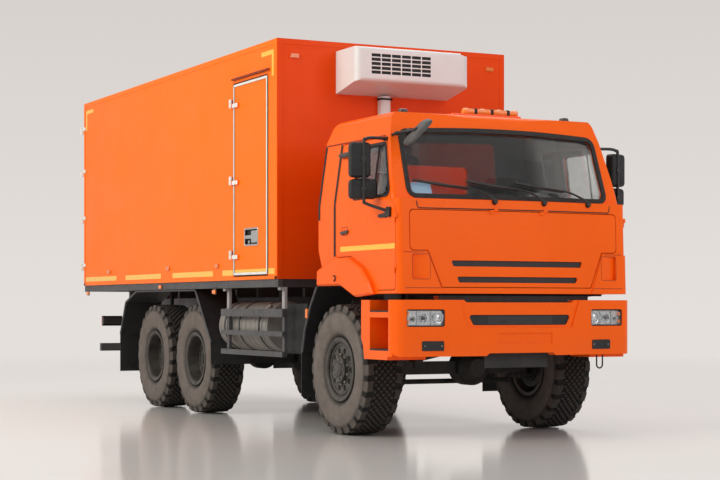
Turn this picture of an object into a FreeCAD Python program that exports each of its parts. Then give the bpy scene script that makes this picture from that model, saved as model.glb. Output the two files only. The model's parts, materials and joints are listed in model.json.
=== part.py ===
import FreeCAD, Part
import math
import os

from FreeCAD import Vector

# Three-axle forward-control truck with an insulated box and a cooling unit.
# Lengths are millimetres, +X forward, +Y left, +Z up. Places along the truck
# are measured from the front axle and moved to the middle of the truck at the end.

# Axles and wheels
axle_2_x = -3690.0
bogie_spread = 1320.0
axle_3_x = axle_2_x - bogie_spread
half_track = 1015.0
tyre_radius = 605.0
tyre_half_width = 200.0
tyre_tread_half_width = 166.0
tyre_bulge_radius = 440.0
tyre_bead_half_width = 150.0
tread_depth = 20.0
tread_lug_count = 16
tread_lug_width = 128.0
tread_lug_root = 30.0
tread_lug_inner_y = 22.0
tread_lug_outer_y = 182.0
tread_lug_slope = 26.0
rim_flange_radius = 290.0
rim_flange_height = 26.0
rim_flange_width = 12.0
rim_wall = 10.0
rim_disc_thickness = 14.0
front_disc_offset = 128.0
rear_disc_offset = 10.0
disc_hole_count = 10
disc_hole_radius = 24.0
disc_hole_circle = 178.0
hub_radius = 118.0
hub_front_reach = 176.0
hub_rear_reach = 120.0
drum_radius = 205.0
drum_length = 120.0
drum_inner_gap = 14.0
stub_radius = 46.0
bearing_gap = 0.5

# Steering
kingpin_y = 800.0
fist_radius = 58.0
fist_half_height = 68.0
lug_height = 42.0
lug_half_width = 62.0
backplate_radius = 150.0
backplate_thickness = 16.0
backplate_y = 862.0
stub_end_y = 1105.0
steer_arm_x = -205.0
steer_arm_half_width = 34.0
steer_arm_height = 26.0
tie_rod_radius = 24.0
tie_rod_gap = 0.5
tie_rod_eye_lip = 4.0
steer_sweep_gap = 32.0

# Axle beams and springs
beam_half_height = 60.0
beam_half_depth = 52.0
diff_y = 190.0
diff_radius = 172.0
diff_depth = 190.0
rear_stub_start_y = 850.0
spring_y = 432.0
spring_width = 90.0
spring_leaf_stack = 92.0
spring_camber = 110.0
spring_half_length = 760.0
spring_eye_radius = 38.0
bogie_seat_height = 150.0

# Ladder frame
rail_outer_y = 432.5
rail_flange = 78.0
rail_web = 9.0
rail_bottom = 905.0
rail_height = 270.0
rail_front_x = 1160.0
rail_rear_x = -7300.0
crossmember_width = 90.0
crossmember_height = 150.0
crossmember_places = (980.0, -900.0, -2050.0, -2700.0, -3350.0, -4350.0, -5700.0, -6600.0)
rear_beam_depth = 60.0
rear_beam_half_width = 1070.0
rear_beam_bottom = 955.0
rear_beam_height = 90.0
tow_eye_thickness = 30.0
tow_eye_radius = 45.0
tow_eye_bore = 18.0
tow_eye_reach = 62.0
rear_tow_y = 300.0

# Engine and shafts
engine_front_x = 540.0
engine_rear_x = -760.0
engine_half_width = 330.0
engine_bottom = 850.0
engine_top = 1560.0
gearbox_rear_x = -1450.0
gearbox_half_width = 200.0
gearbox_bottom = 920.0
gearbox_top = 1150.0
shaft_radius = 48.0
shaft_flange_radius = 72.0
shaft_flange_thickness = 20.0
spring_seat_half = 70.0

# Insulated box
box_front_x = -1166.0
box_rear_x = -7414.0
box_half_width = 1300.0
box_bottom = 1459.0
box_top = 3830.0
box_wall = 80.0
box_floor = 120.0
box_roof_depth = 90.0
box_header = 120.0
door_gap = 6.0
side_door_rear_x = -2293.0
side_door_front_x = -1390.0
side_door_bottom = 1500.0
side_door_head = 330.0
side_door_top = box_top - side_door_head
side_hinge_shares = (0.111, 0.497, 0.8975)
door_frame_width = 36.0
door_frame_proud = 6.0
handle_rear_x = -1987.0
handle_front_x = -1653.0
handle_bottom = 1816.0
handle_top = 1977.0
handle_depth = 24.0
handle_bar = 34.0
drip_rail_rise = 35.0
drip_rail_height = 16.0
drip_rail_out = 30.0
drip_rail_over = 50.0
hinge_height = 90.0
hinge_pin_radius = 14.0
hinge_leaf = 12.0
hinge_stand_off = 6.0
hinge_play = 0.5
hinge_strap_length = 150.0
side_hinge_x = -2312.0
side_hinge_out = 26.0
rear_hinge_shares = (0.06, 0.36, 0.66, 0.93)
rear_hinge_x = -7445.0
rear_hinge_out = 25.0
rear_hinge_y = box_half_width + rear_hinge_out
lock_rod_radius = 14.0
lock_rod_stand = 31.0
lock_rod_shares = (0.27, 0.78)
lock_guide_half = 24.0
lock_guide_count = 4
lock_guide_height = 50.0

# Body subframe
subframe_height = 115.0
bearer_width = 60.0
bearer_count = 11
bearer_step = 70.0
bearer_root_half = 700.0
sill_width = 60.0
sill_bottom = 1380.0

# Cooling unit and its duct
unit_front_x = -700.0
unit_right_y = -660.0
unit_left_y = 610.0
unit_height = 425.0
unit_rise = 90.0
unit_drop = 95.0
unit_top = box_top - unit_drop
unit_bottom = unit_top - unit_height
unit_corner = 70.0
unit_notch_width = 95.0
unit_notch_height = 28.0
unit_notch_depth = 120.0
grille_columns = 6
grille_rows = 5
grille_start_share = 0.125
grille_end_share = 0.655
grille_top_drop = 60.0
grille_height = 210.0
grille_bar = 12.0
grille_depth = 16.0
duct_right_y = -190.0
duct_left_y = -78.0
duct_depth = 86.0
duct_corner = 30.0
duct_bottom = 1560.0

# Cab
cab_bottom = 1300.0
cab_floor_bottom = 1400.0
cab_belt = 2130.0
cab_top = 2920.0
cab_half_width = 1190.0
cab_roof_narrowing = 145.0
cab_roof_half_width = cab_half_width - cab_roof_narrowing
cab_roof_crown = 20.0
cab_front_x = 1250.0
cab_corner_x = 1190.0
cab_corner_radius = 50.0
cab_face_half = 300.0
cab_face_radius = 2500.0
cab_lower_lean = 30.0
cab_screen_x = 1150.0
cab_screen_corner_x = 1075.0
cab_screen_lean_share = 0.3705
cab_wall = 50.0
cab_rear_x = -445.0
cab_rear_foot_x = -300.0
cab_rear_kink_z = 1720.0
cab_roof_rear_x = -345.0
cab_roof_rear_z = 2725.0
cab_roof_front_x = 850.0
cab_brow_x = 945.0
cab_brow_z = 2740.0
cab_visor_x = 1300.0
cab_shoulder_z = 2725.0
cab_shoulder_narrowing = 86.0
cab_shoulder_half = cab_half_width - cab_shoulder_narrowing
cab_soft = 60.0
roof_soft = 80.0
step_x = 430.0
step_run = 90.0
tunnel_half = 380.0
tunnel_top = 1600.0
tunnel_front_x = 600.0
tilt_x = 1120.0
tilt_z = 990.0
tilt_pin_radius = 16.0
tilt_pin_length = 62.0
tilt_eye_radius = 28.0
tilt_arm_thickness = 30.0
tilt_arm_gap = 12.0
tilt_arm_rear_x = 583.0
tilt_arm_height = 70.0
cab_rest_x = -290.0
cab_rest_length = 90.0
cab_rest_inner_y = 385.0

# Cab openings and doors
screen_pillar = 170.0
screen_half_bottom = cab_half_width - screen_pillar
screen_taper = 15.0
screen_half_top = screen_half_bottom - screen_taper
screen_bottom = 2168.0
screen_top = 2735.0
screen_bow = 30.0
screen_bow_radius = 12000.0
screen_corner = 70.0
glass_thickness = 8.0
glass_depth = 16.0
door_front_x = 1122.0
door_belt_x = 1024.0
door_kink_z = 2060.0
door_top_front_x = 814.0
door_rear_x = -60.0
door_bottom = 1334.0
door_top = 2688.0
door_corner = 40.0
cab_door_gap = 6.0
door_lip = 10.0
door_pin_radius = 8.0
door_hinge_heights = (1520.0, 1960.0)
door_hinge_half = 40.0
door_hinge_strap = 28.0
panel_hinge_places = (-260.0, 260.0)
window_front_x = 990.0
window_rear_x = 285.0
window_bottom = 2170.0
window_top = 2630.0
window_top_front_x = 800.0
window_corner = 40.0
rear_window_half = 420.0
rear_window_bottom = 2150.0
rear_window_top = 2560.0

# Service panel in the cab front
panel_side = 115.0
panel_half = cab_half_width - panel_side
panel_step = 170.0
panel_waist_half = panel_half - panel_step
panel_taper = 130.0
panel_foot_half = panel_waist_half - panel_taper
panel_top = 2030.0
panel_step_z = 1680.0
panel_bottom = 1357.0
panel_depth = 50.0
panel_gap = 6.0
slot_height = 52.0
slot_upper_z = 1539.0
slot_margin = 389.0
slot_upper_half = panel_half - slot_margin
slot_lower_z = 1397.0
slot_taper = 54.0
slot_lower_half = slot_upper_half - slot_taper
slot_end_slope = 22.0
slot_mesh_depth = 20.0

# Skirts at the cab's lower front corners, each with a pocket beside the panel
skirt_out = 12.0
skirt_top = 1658.0
pocket_outer_y = cab_half_width - 130.0
pocket_width = 160.0
pocket_low_z = 1430.0
pocket_high_z = 1640.0
pocket_depth = 34.0

# Cab fenders
fender_out = 50.0
fender_bevel = 18.0
fender_front_x = 764.0
fender_low_z = 1272.0
fender_rise = 368.0
fender_shares = (
    (-0.5105, 0.6957), (-0.0393, 1.0), (0.3272, 0.981), (0.6937, 0.7011),
    (0.8901, 0.375), (1.0, 0.0652), (0.5497, 0.0), (0.4581, 0.0489),
    (0.1309, 0.2935), (-0.5236, 0.2935),
)
fender_points = tuple((u * fender_front_x, fender_low_z + v * fender_rise) for u, v in fender_shares)
fender_round = 60.0
fender_clear = 12.0

# Front bumper with its steps
bumper_front_x = 1280.0
bumper_corner_x = 1200.0
bumper_half = cab_half_width + fender_out
bumper_corner_radius = 110.0
bumper_face_half = 330.0
bumper_face_radius = 2600.0
bumper_bottom = 750.0
bumper_top = 1245.0
bumper_back_x = 1160.0
steps_rear_x = 560.0
steps_bottom = 720.0
steps_width = 380.0
steps_inner_y = bumper_half - steps_width
step_rear_x = 730.0
step_front_x = 1085.0
step_depth = 200.0
tread_heights = (800.0, 1138.0)
tread_thickness = 14.0
step_head = 1090.0
lamp_margin = 115.0
lamp_width = 363.0
lamp_outer_y = bumper_half - lamp_margin
lamp_inner_y = lamp_outer_y - lamp_width
lamp_bottom = 1010.0
lamp_top = 1162.0
lamp_depth = 90.0
lamp_soft = 22.0
vent_half_top = 535.0
vent_half_bottom = 485.0
vent_bottom = 1022.0
vent_top = 1113.0
vent_depth = 60.0
vent_insert_start = 22.0
vent_insert_end = 36.0
brow_half = 600.0
brow_taper = 50.0
brow_drop = 22.0
recess_half_top = 625.0
recess_half_bottom = 545.0
recess_bottom = 1000.0
recess_depth = 12.0
plate_middle_y = 40.0
plate_half = 280.0
plate_bottom = 860.0
plate_top = 950.0
plate_depth = 8.0
blank_inner_y = 774.0
blank_outer_y = 982.0
blank_bottom = 800.0
blank_top = 885.0
blank_proud = 5.0
blank_soft = 8.0
notch_half = 360.0
notch_taper = 28.0
notch_height = 24.0
lower_corner_radius = 60.0
apron_half = 1100.0
apron_inset = 80.0
apron_depth = 20.0
apron_top = 1284.0
rod_loop_x = 1175.0
rod_loop_y = 900.0
rod_loop_z = 655.0
rod_loop_half = 32.0
rod_loop_radius = 7.0
skid_half = notch_half - notch_taper - hinge_play
skid_height = 110.0
skid_thickness = 24.0

# Mudguards, guards, tanks and boxes on the chassis
guard_thickness = 10.0
guard_inner_y = 800.0
guard_outer_y = 1265.0
front_guard_outer_y = 1225.0
front_guard_points = ((-413.0, 1373.0), (-560.0, 1180.0), (-680.0, 960.0), (-745.0, 739.0))
guard_middle_places = ((670.0, 791.0), (198.0, 1366.0))
guard_rear_places = ((-440.0, 1366.0), (-834.0, 1235.0), (-1039.0, 847.0))
rear_guard_points = tuple((axle_2_x + run, z) for run, z in guard_middle_places)
rear_guard_points += tuple((axle_3_x + run, z) for run, z in guard_rear_places)
flap_thickness = 12.0
front_flap_bottom = 325.0
middle_flap_bottom = 560.0
rear_flap_bottom = 390.0
flap_lap = 60.0
stay_radius = 22.0
rail_guard_inset = 50.0
rail_guard_y = box_half_width - rail_guard_inset
rail_guard_depth = 30.0
side_rail_spans = ((686.0, 740.0), (890.0, 940.0), (1083.0, 1162.0))
side_rail_rear_x = -2770.0
side_rail_front_x = -1160.0
side_post_places = (-2670.0, -1230.0)
side_post_width = 60.0
tank_wheel_gap = 690.0
tank_rear_x = axle_2_x + tank_wheel_gap
tank_front_x = -1700.0
tank_inset = 375.0
tank_y = box_half_width - tank_inset
tank_z = 982.0
tank_radius = 252.0
strap_width = 46.0
strap_thickness = 6.0
strap_places = (-2820.0, -2420.0, -1880.0)
tank_rib_places = (-2950.0, -2690.0, -2560.0, -2280.0, -2150.0, -2020.0, -1750.0)
filler_x = -1800.0
filler_reach = 75.0
filler_radius = 42.0
console_thickness = 40.0
locker_rear_x = -1430.0
locker_front_x = -890.0
locker_inset = 200.0
locker_outer_y = box_half_width - locker_inset
locker_bottom = 720.0
locker_top = 1215.0
air_tank_radius = 118.0
air_tank_rear_x = -2760.0
air_tank_front_x = -1720.0
air_tank_y = 700.0
air_tank_heights = (840.0, 1090.0)
air_console_places = (-2650.0, -2260.0, -1870.0)
underride_half = 1113.0
underride_bottom = 610.0
underride_height = 100.0
underride_depth = 60.0
underride_x = -7330.0
underride_post = 70.0
rear_lamp_inner_y = 800.0
rear_lamp_height = 130.0
rear_lamp_depth = 40.0
marker_length = 90.0
marker_height = 40.0
marker_depth = 16.0
side_marker_places = (-6370.0, -4240.0, -2740.0)
side_marker_z = 1620.0
front_marker_inset = 183.0
front_marker_y = box_half_width - front_marker_inset
front_marker_drop = 166.0
front_marker_z = box_top - front_marker_drop

# Cab fittings
seat_door_gap = 230.0
seat_tunnel_gap = 20.0
seat_outer_y = cab_half_width - seat_door_gap
seat_inner_y = tunnel_half + cab_wall + seat_tunnel_gap
seat_rear_x = -60.0
seat_front_x = 420.0
seat_base_top = 1700.0
seat_cushion = 140.0
seat_back_depth = 130.0
seat_back_top = 2460.0
dash_rear_x = 700.0
dash_bottom = 1720.0
dash_top = 2070.0
dash_side_gap = 15.0
wheel_ring_radius = 225.0
wheel_ring_tube = 15.0
driver_wheel_offset = 55.0
driver_y = (seat_inner_y + seat_outer_y) / 2 - driver_wheel_offset
driver_wheel_x = 560.0
driver_wheel_z = 2010.0
driver_wheel_lean = 35.0
mirror_x = 775.0
mirror_depth = 90.0
mirror_stand = 172.0
mirror_middle_y = cab_half_width + mirror_stand
mirror_width = 190.0
mirror_bottom = 2325.0
mirror_top = 2635.0
mirror_turn = 17.0
mirror_soft = 42.0
wide_mirror_width = 250.0
wide_mirror_stand = 140.0
wide_middle_y = cab_half_width + wide_mirror_stand
wide_bottom = 2135.0
wide_top = 2310.0
mirror_arm_radius = 14.0
mirror_arm_x = 826.0
mirror_arm_top = 2672.0
mirror_arm_bottom = 2100.0
mirror_arm_stand = 156.0
mirror_arm_y = cab_half_width + mirror_arm_stand
mirror_root_x = 800.0
mirror_foot_x = 1000.0
mirror_foot_z = 2015.0
kerb_mirror_inset = 200.0
kerb_mirror_y = cab_half_width - kerb_mirror_inset
kerb_mirror_x = 1150.0
kerb_mirror_z = 2713.0
kerb_mirror_length = 320.0
kerb_mirror_width = 190.0
kerb_mirror_thickness = 44.0
kerb_mirror_lean = 45.0
kerb_arm_x = 835.0
kerb_arm_z = 2695.0
kerb_arm_y = cab_half_width - 2 * cab_wall
wiper_pivots = (-249.0, 268.0, 759.0)
wiper_reach = 760.0
wiper_rise = 190.0
wiper_foot_z = 2150.0
wiper_radius = 9.0
wiper_pivot_radius = 22.0
wiper_stand = 26.0
beacon_right_y = -320.0
beacon_left_y = 420.0
beacon_x = 520.0
beacon_depth = 190.0
beacon_height = 42.0
beacon_count = 4
beacon_end_gap = 35.0
beacon_pitch = 175.0
beacon_dome_radius = 34.0
beacon_dome_height = 62.0
roof_lamp_inset = 329.0
roof_lamp_y = cab_half_width - roof_lamp_inset
roof_lamp_x = 640.0
roof_lamp_radius = 46.0
roof_lamp_height = 48.0

# Overrun of every cut past the face that it opens
overrun = 20.0

rear_reach = rear_beam_depth + tow_eye_reach + tow_eye_radius - rail_rear_x
x_shift = (rear_reach - bumper_front_x) / 2


def block(x, y, z):
    """Box between the low and high value of each axis."""
    return Part.makeBox(x[1] - x[0], y[1] - y[0], z[1] - z[0], Vector(x[0], y[0], z[0]))


def rod(start, end, radius):
    """Round bar from one point to another."""
    way = end - start
    return Part.makeCylinder(radius, way.Length, start, way)


def mirrored(shape):
    """The same shape on the other side of the truck."""
    return shape.mirror(Vector(0, 0, 0), Vector(0, 1, 0))


def joined(shapes):
    """One solid from overlapping or touching shapes."""
    shapes = list(shapes)
    return shapes[0].multiFuse(shapes[1:]).removeSplitter()


def both_sides(shape):
    """A shape and its mirror image as separate solids."""
    return Part.makeCompound([shape, mirrored(shape)])


def outline(corners, place):
    """Closed wire through (u, v, radius) corners, rounded where a radius is given."""
    points = [place(corner[0], corner[1]) for corner in corners]
    radii = [corner[2] if len(corner) > 2 else 0 for corner in corners]
    count = len(points)
    starts, ends, arcs = [], [], []
    for i in range(count):
        back = (points[i - 1] - points[i]).normalize()
        ahead = (points[(i + 1) % count] - points[i]).normalize()
        half = back.getAngle(ahead) / 2
        reach = radii[i] / math.tan(half)
        starts.append(points[i] + back * reach)
        ends.append(points[i] + ahead * reach)
        middle = points[i]
        if radii[i] > 0:
            middle = points[i] + (back + ahead).normalize() * (radii[i] / math.sin(half) - radii[i])
        arcs.append(middle)
    edges = []
    for i in range(count):
        if radii[i] > 0:
            edges.append(Part.Arc(starts[i], arcs[i], ends[i]).toShape())
        following = starts[(i + 1) % count]
        if (following - ends[i]).Length > overrun / 1e4:
            edges.append(Part.makeLine(ends[i], following))
    return Part.Wire(edges)


def side_face(corners, y=0.0):
    return Part.Face(outline(corners, lambda u, v: Vector(u, y, v)))


def front_face(corners, x=0.0):
    return Part.Face(outline(corners, lambda u, v: Vector(x, u, v)))


def plan_face(corners, z=0.0):
    return Part.Face(outline(corners, lambda u, v: Vector(u, v, z)))


def side_prism(corners, y):
    """Outline in x and z, carried across from y[0] to y[1]."""
    return side_face(corners, y[0]).extrude(Vector(0, y[1] - y[0], 0))


def front_prism(corners, x):
    """Outline in y and z, carried along from x[0] to x[1]."""
    return front_face(corners, x[0]).extrude(Vector(x[1] - x[0], 0, 0))


def plan_prism(corners, z):
    """Outline in x and y, carried up from z[0] to z[1]."""
    return plan_face(corners, z[0]).extrude(Vector(0, 0, z[1] - z[0]))


def turned(profile, centre, axis):
    """Solid of revolution from (radius, along) corners about an axis through centre."""
    along = Vector(axis).normalize()
    out = Vector(0, 0, 1) if abs(along.z) == 0 else Vector(1, 0, 0)
    face = Part.Face(outline(profile, lambda r, s: centre + out * r + along * s))
    return face.revolve(centre, along, 360)


def strip(points, thickness):
    """Outline of a bent sheet whose one face follows the points."""
    far = []
    for i in range(len(points)):
        before = points[max(i - 1, 0)]
        after = points[min(i + 1, len(points) - 1)]
        run, rise = after[0] - before[0], after[1] - before[1]
        size = math.hypot(run, rise)
        far.append((points[i][0] + rise / size * thickness, points[i][1] - run / size * thickness))
    return list(points) + far[::-1]


def save(name, shape):
    """Moves a finished piece to the truck's middle and writes its file."""
    shape = shape.copy()
    shape.translate(Vector(x_shift, 0, 0))
    shape.exportStep(os.path.join("parts", name + ".step"))


def save_pair(name, shape, build_right=mirrored):
    """Writes a left piece and its right-hand image."""
    save(name + "_left", shape)
    save(name + "_right", build_right(shape))


# Wheels

def faceted_ring(profile, sides, first):
    """Closed ring about the Y axis with flat sides, from (radius to the flat, along) corners."""
    stretch = 1 / math.cos(math.pi / sides)
    rings = []
    for radius, along in profile:
        ring = []
        for i in range(sides):
            turn = first + 2 * math.pi * (i + 1 / 2) / sides
            ring.append(Vector(math.sin(turn), 0, math.cos(turn)) * radius * stretch
                        + Vector(0, along, 0))
        rings.append(ring)
    faces = []
    for k in range(len(rings)):
        near, far = rings[k - 1], rings[k]
        for i in range(sides):
            corners = (near[i - 1], near[i], far[i], far[i - 1], near[i - 1])
            faces.append(Part.Face(Part.makePolygon(corners)))
    solid = Part.Solid(Part.Shell(faces))
    return solid if solid.Volume > 0 else solid.reversed()


def lugged_tyre():
    """Tyre about the origin with two staggered rows of tread lugs, one lug's edge at its foot."""
    seat = rim_flange_radius - rim_flange_height
    groove_radius = tyre_radius - tread_depth
    half = (
        (groove_radius, tyre_tread_half_width),
        (tyre_bulge_radius, tyre_half_width),
        (rim_flange_radius, tyre_bead_half_width),
        (seat, tyre_bead_half_width),
    )
    profile = half + tuple((radius, -along) for radius, along in half[::-1])
    first = math.pi - math.asin(tread_lug_width / 2 / tyre_radius)
    carcass = faceted_ring(profile, 2 * tread_lug_count, first)
    top = math.sqrt(tyre_radius ** 2 - (tread_lug_width / 2) ** 2)
    lug = front_prism((
        (tread_lug_inner_y, groove_radius - tread_lug_root),
        (tread_lug_outer_y, groove_radius - tread_lug_root),
        (tread_lug_outer_y, top - tread_lug_slope),
        (tread_lug_outer_y - tread_lug_slope, top),
        (tread_lug_inner_y, top),
    ), (-tread_lug_width / 2, tread_lug_width / 2))
    pieces = [carcass]
    for i in range(2 * tread_lug_count):
        piece = mirrored(lug) if i % 2 else lug.copy()
        turn = math.degrees(first + math.pi * i / tread_lug_count)
        piece.rotate(Vector(0, 0, 0), Vector(0, 1, 0), turn)
        pieces.append(piece)
    return joined(pieces)


def rim(x, disc_offset):
    """Rim with its disc, hub and brake drum, on the left side."""
    centre = Vector(x, half_track, tyre_radius)
    axis = Vector(0, 1, 0)
    seat = rim_flange_radius - rim_flange_height
    edge = tyre_bead_half_width
    barrel = turned((
        (seat - rim_wall, -edge - rim_flange_width),
        (rim_flange_radius, -edge - rim_flange_width),
        (rim_flange_radius, -edge),
        (seat, -edge),
        (seat, edge),
        (rim_flange_radius, edge),
        (rim_flange_radius, edge + rim_flange_width),
        (seat - rim_wall, edge + rim_flange_width),
    ), centre, axis)
    disc = turned((
        (0, disc_offset),
        (seat - rim_wall, disc_offset),
        (seat - rim_wall, disc_offset + rim_disc_thickness),
        (0, disc_offset + rim_disc_thickness),
    ), centre, axis)
    hub_end = disc_offset + hub_front_reach - front_disc_offset
    hub = turned((
        (0, -hub_rear_reach),
        (hub_radius, -hub_rear_reach),
        (hub_radius, hub_end),
        (0, hub_end),
    ), centre, axis)
    drum_start = backplate_y + backplate_thickness + drum_inner_gap - half_track
    drum = turned((
        (0, drum_start),
        (drum_radius, drum_start),
        (drum_radius, drum_start + drum_length),
        (0, drum_start + drum_length),
    ), centre, axis)
    wheel = joined((barrel, disc, hub, drum))
    holes = []
    for i in range(disc_hole_count):
        turn = 2 * math.pi * i / disc_hole_count
        spot = centre + Vector(math.cos(turn), 0, math.sin(turn)) * disc_hole_circle
        near = spot + axis * (disc_offset - overrun)
        holes.append(rod(near, near + axis * (rim_disc_thickness + 2 * overrun), disc_hole_radius))
    bore_start = centre - axis * (hub_rear_reach + drum_length)
    bore_end = Vector(x, stub_end_y + bearing_gap, tyre_radius)
    holes.append(rod(bore_start, bore_end, stub_radius + bearing_gap))
    return wheel.cut(Part.makeCompound(holes))


# Steering and axles

def knuckle():
    """Left knuckle: lugs above and below the fist, backplate, stub and steering arm."""
    low = tyre_radius - fist_half_height - bearing_gap
    high = tyre_radius + fist_half_height + bearing_gap
    reach = (kingpin_y - lug_half_width, backplate_y + backplate_thickness)
    width = (-lug_half_width, lug_half_width)
    lower = block(width, reach, (low - lug_height, low))
    upper = block(width, reach, (high, high + lug_height))
    plate_start = Vector(0, backplate_y, tyre_radius)
    plate_end = Vector(0, backplate_y + backplate_thickness, tyre_radius)
    plate = rod(plate_start, plate_end, backplate_radius)
    stub = rod(plate_start, Vector(0, stub_end_y, tyre_radius), stub_radius)
    arm_y = (kingpin_y - lug_half_width, kingpin_y - lug_half_width + 2 * steer_arm_half_width)
    arm = block((steer_arm_x, 0), arm_y, (low - lug_height, low - lug_height + steer_arm_height))
    middle_y = (arm_y[0] + arm_y[1]) / 2
    eye_low = Vector(steer_arm_x, middle_y, low - lug_height)
    eye = rod(eye_low, eye_low + Vector(0, 0, steer_arm_height), steer_arm_half_width)
    return joined((lower, upper, plate, stub, arm, eye))


def tie_rod():
    """Cross tube with flat eyes just under the two steering arms."""
    eye_top = tyre_radius - fist_half_height - bearing_gap - lug_height - tie_rod_gap
    end_y = kingpin_y - lug_half_width + steer_arm_half_width
    middle_z = eye_top - tie_rod_radius - tie_rod_eye_lip
    tube = rod(
        Vector(steer_arm_x, -end_y, middle_z),
        Vector(steer_arm_x, end_y, middle_z),
        tie_rod_radius,
    )
    eye = rod(
        Vector(steer_arm_x, end_y, middle_z - tie_rod_radius - tie_rod_eye_lip),
        Vector(steer_arm_x, end_y, eye_top),
        steer_arm_half_width,
    )
    return joined((tube, eye, mirrored(eye)))


def axle_beam(x, end_y):
    """Square tube with the differential set to the left of the middle."""
    beam = block(
        (x - beam_half_depth, x + beam_half_depth),
        (-end_y, end_y),
        (tyre_radius - beam_half_height, tyre_radius + beam_half_height),
    )
    case = turned((
        (0, -diff_depth),
        (diff_radius / 2, -diff_depth),
        (diff_radius, -diff_depth / 2, diff_radius / 4),
        (diff_radius, diff_depth / 2, diff_radius / 4),
        (diff_radius / 2, diff_depth),
        (0, diff_depth),
    ), Vector(x, diff_y, tyre_radius), Vector(1, 0, 0))
    return beam.fuse(case)


def leaf_spring(x, y, half_length, low, rise):
    """Bent stack of leaves, lowest in its middle."""
    top = low + spring_leaf_stack
    corners = (
        (x - half_length, low + rise),
        (x, low, half_length),
        (x + half_length, low + rise),
        (x + half_length, low + rise + spring_leaf_stack / 2),
        (x, top, half_length),
        (x - half_length, low + rise + spring_leaf_stack / 2),
    )
    return side_prism(corners, (y - spring_width / 2, y + spring_width / 2))


def front_axle():
    """Steered drive axle with its two springs and their hangers."""
    beam = axle_beam(0, kingpin_y)
    fist = rod(
        Vector(0, kingpin_y, tyre_radius - fist_half_height),
        Vector(0, kingpin_y, tyre_radius + fist_half_height),
        fist_radius,
    )
    seat_z = tyre_radius + beam_half_height
    spring_middle = spring_y - spring_width / 2
    spring = leaf_spring(0, spring_middle, spring_half_length, seat_z, spring_camber)
    seat_block = block(
        (-spring_seat_half, spring_seat_half),
        (spring_middle - spring_width / 2, spring_middle + spring_width / 2),
        (tyre_radius, seat_z + spring_leaf_stack),
    )
    pieces = [beam, fist, mirrored(fist), spring, mirrored(spring)]
    pieces += [seat_block, mirrored(seat_block)]
    hanger_low = seat_z + spring_camber
    for x in (-spring_half_length, spring_half_length):
        hanger = block(
            (x - spring_eye_radius, x + spring_eye_radius),
            (rail_outer_y - rail_flange, rail_outer_y),
            (hanger_low, rail_bottom),
        )
        pieces += [hanger, mirrored(hanger)]
    return joined(pieces)


def rear_axle(x):
    """Driven axle with a fixed stub at each end."""
    beam = axle_beam(x, rear_stub_start_y)
    pieces = [beam]
    plate = rod(
        Vector(x, rear_stub_start_y, tyre_radius),
        Vector(x, backplate_y + backplate_thickness, tyre_radius),
        backplate_radius,
    )
    stub = rod(
        Vector(x, rear_stub_start_y, tyre_radius),
        Vector(x, stub_end_y, tyre_radius),
        stub_radius,
    )
    for piece in (plate, stub):
        pieces += [piece, mirrored(piece)]
    return joined(pieces)


def rear_bogie():
    """Both rear axles tied by inverted springs that pivot under the frame."""
    middle = (axle_2_x + axle_3_x) / 2
    seat_z = tyre_radius + beam_half_height
    y = spring_y - spring_width / 2
    half = (axle_2_x - axle_3_x) / 2 + beam_half_depth
    rise = spring_camber
    corners = (
        (middle - half, seat_z),
        (middle + half, seat_z),
        (middle + half, seat_z + spring_leaf_stack / 2),
        (middle, seat_z + spring_leaf_stack + rise, half),
        (middle - half, seat_z + spring_leaf_stack / 2),
    )
    spring = side_prism(corners, (y - spring_width / 2, y + spring_width / 2))
    saddle = block(
        (middle - bogie_seat_height / 2, middle + bogie_seat_height / 2),
        (rail_outer_y - rail_flange, rail_outer_y),
        (seat_z, rail_bottom),
    )
    pieces = [rear_axle(axle_2_x), rear_axle(axle_3_x)]
    pieces += [spring, mirrored(spring), saddle, mirrored(saddle)]
    return joined(pieces)


# Chassis

def channel(x):
    """Left rail, a channel open to the middle of the truck."""
    top = rail_bottom + rail_height
    solid = block(x, (rail_outer_y - rail_flange, rail_outer_y), (rail_bottom, top))
    hollow = block(
        (x[0] - overrun, x[1] + overrun),
        (rail_outer_y - rail_flange - overrun, rail_outer_y - rail_web),
        (rail_bottom + rail_web, top - rail_web),
    )
    return solid.cut(hollow)


def tow_eye(x, y, z, direction):
    """Upright plate with a cross bore, pointing along direction."""
    tip = x + direction * tow_eye_reach
    width = (y - tow_eye_thickness / 2, y + tow_eye_thickness / 2)
    root = block((min(x, tip), max(x, tip)), width, (z - tow_eye_radius, z + tow_eye_radius))
    eye = rod(Vector(tip, width[0], z), Vector(tip, width[1], z), tow_eye_radius)
    bore = rod(Vector(tip, width[0] - overrun, z), Vector(tip, width[1] + overrun, z), tow_eye_bore)
    return root.fuse(eye).cut(bore)


def frame_rails():
    """The two channels of the ladder frame."""
    return both_sides(channel((rail_rear_x, rail_front_x)))


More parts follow.
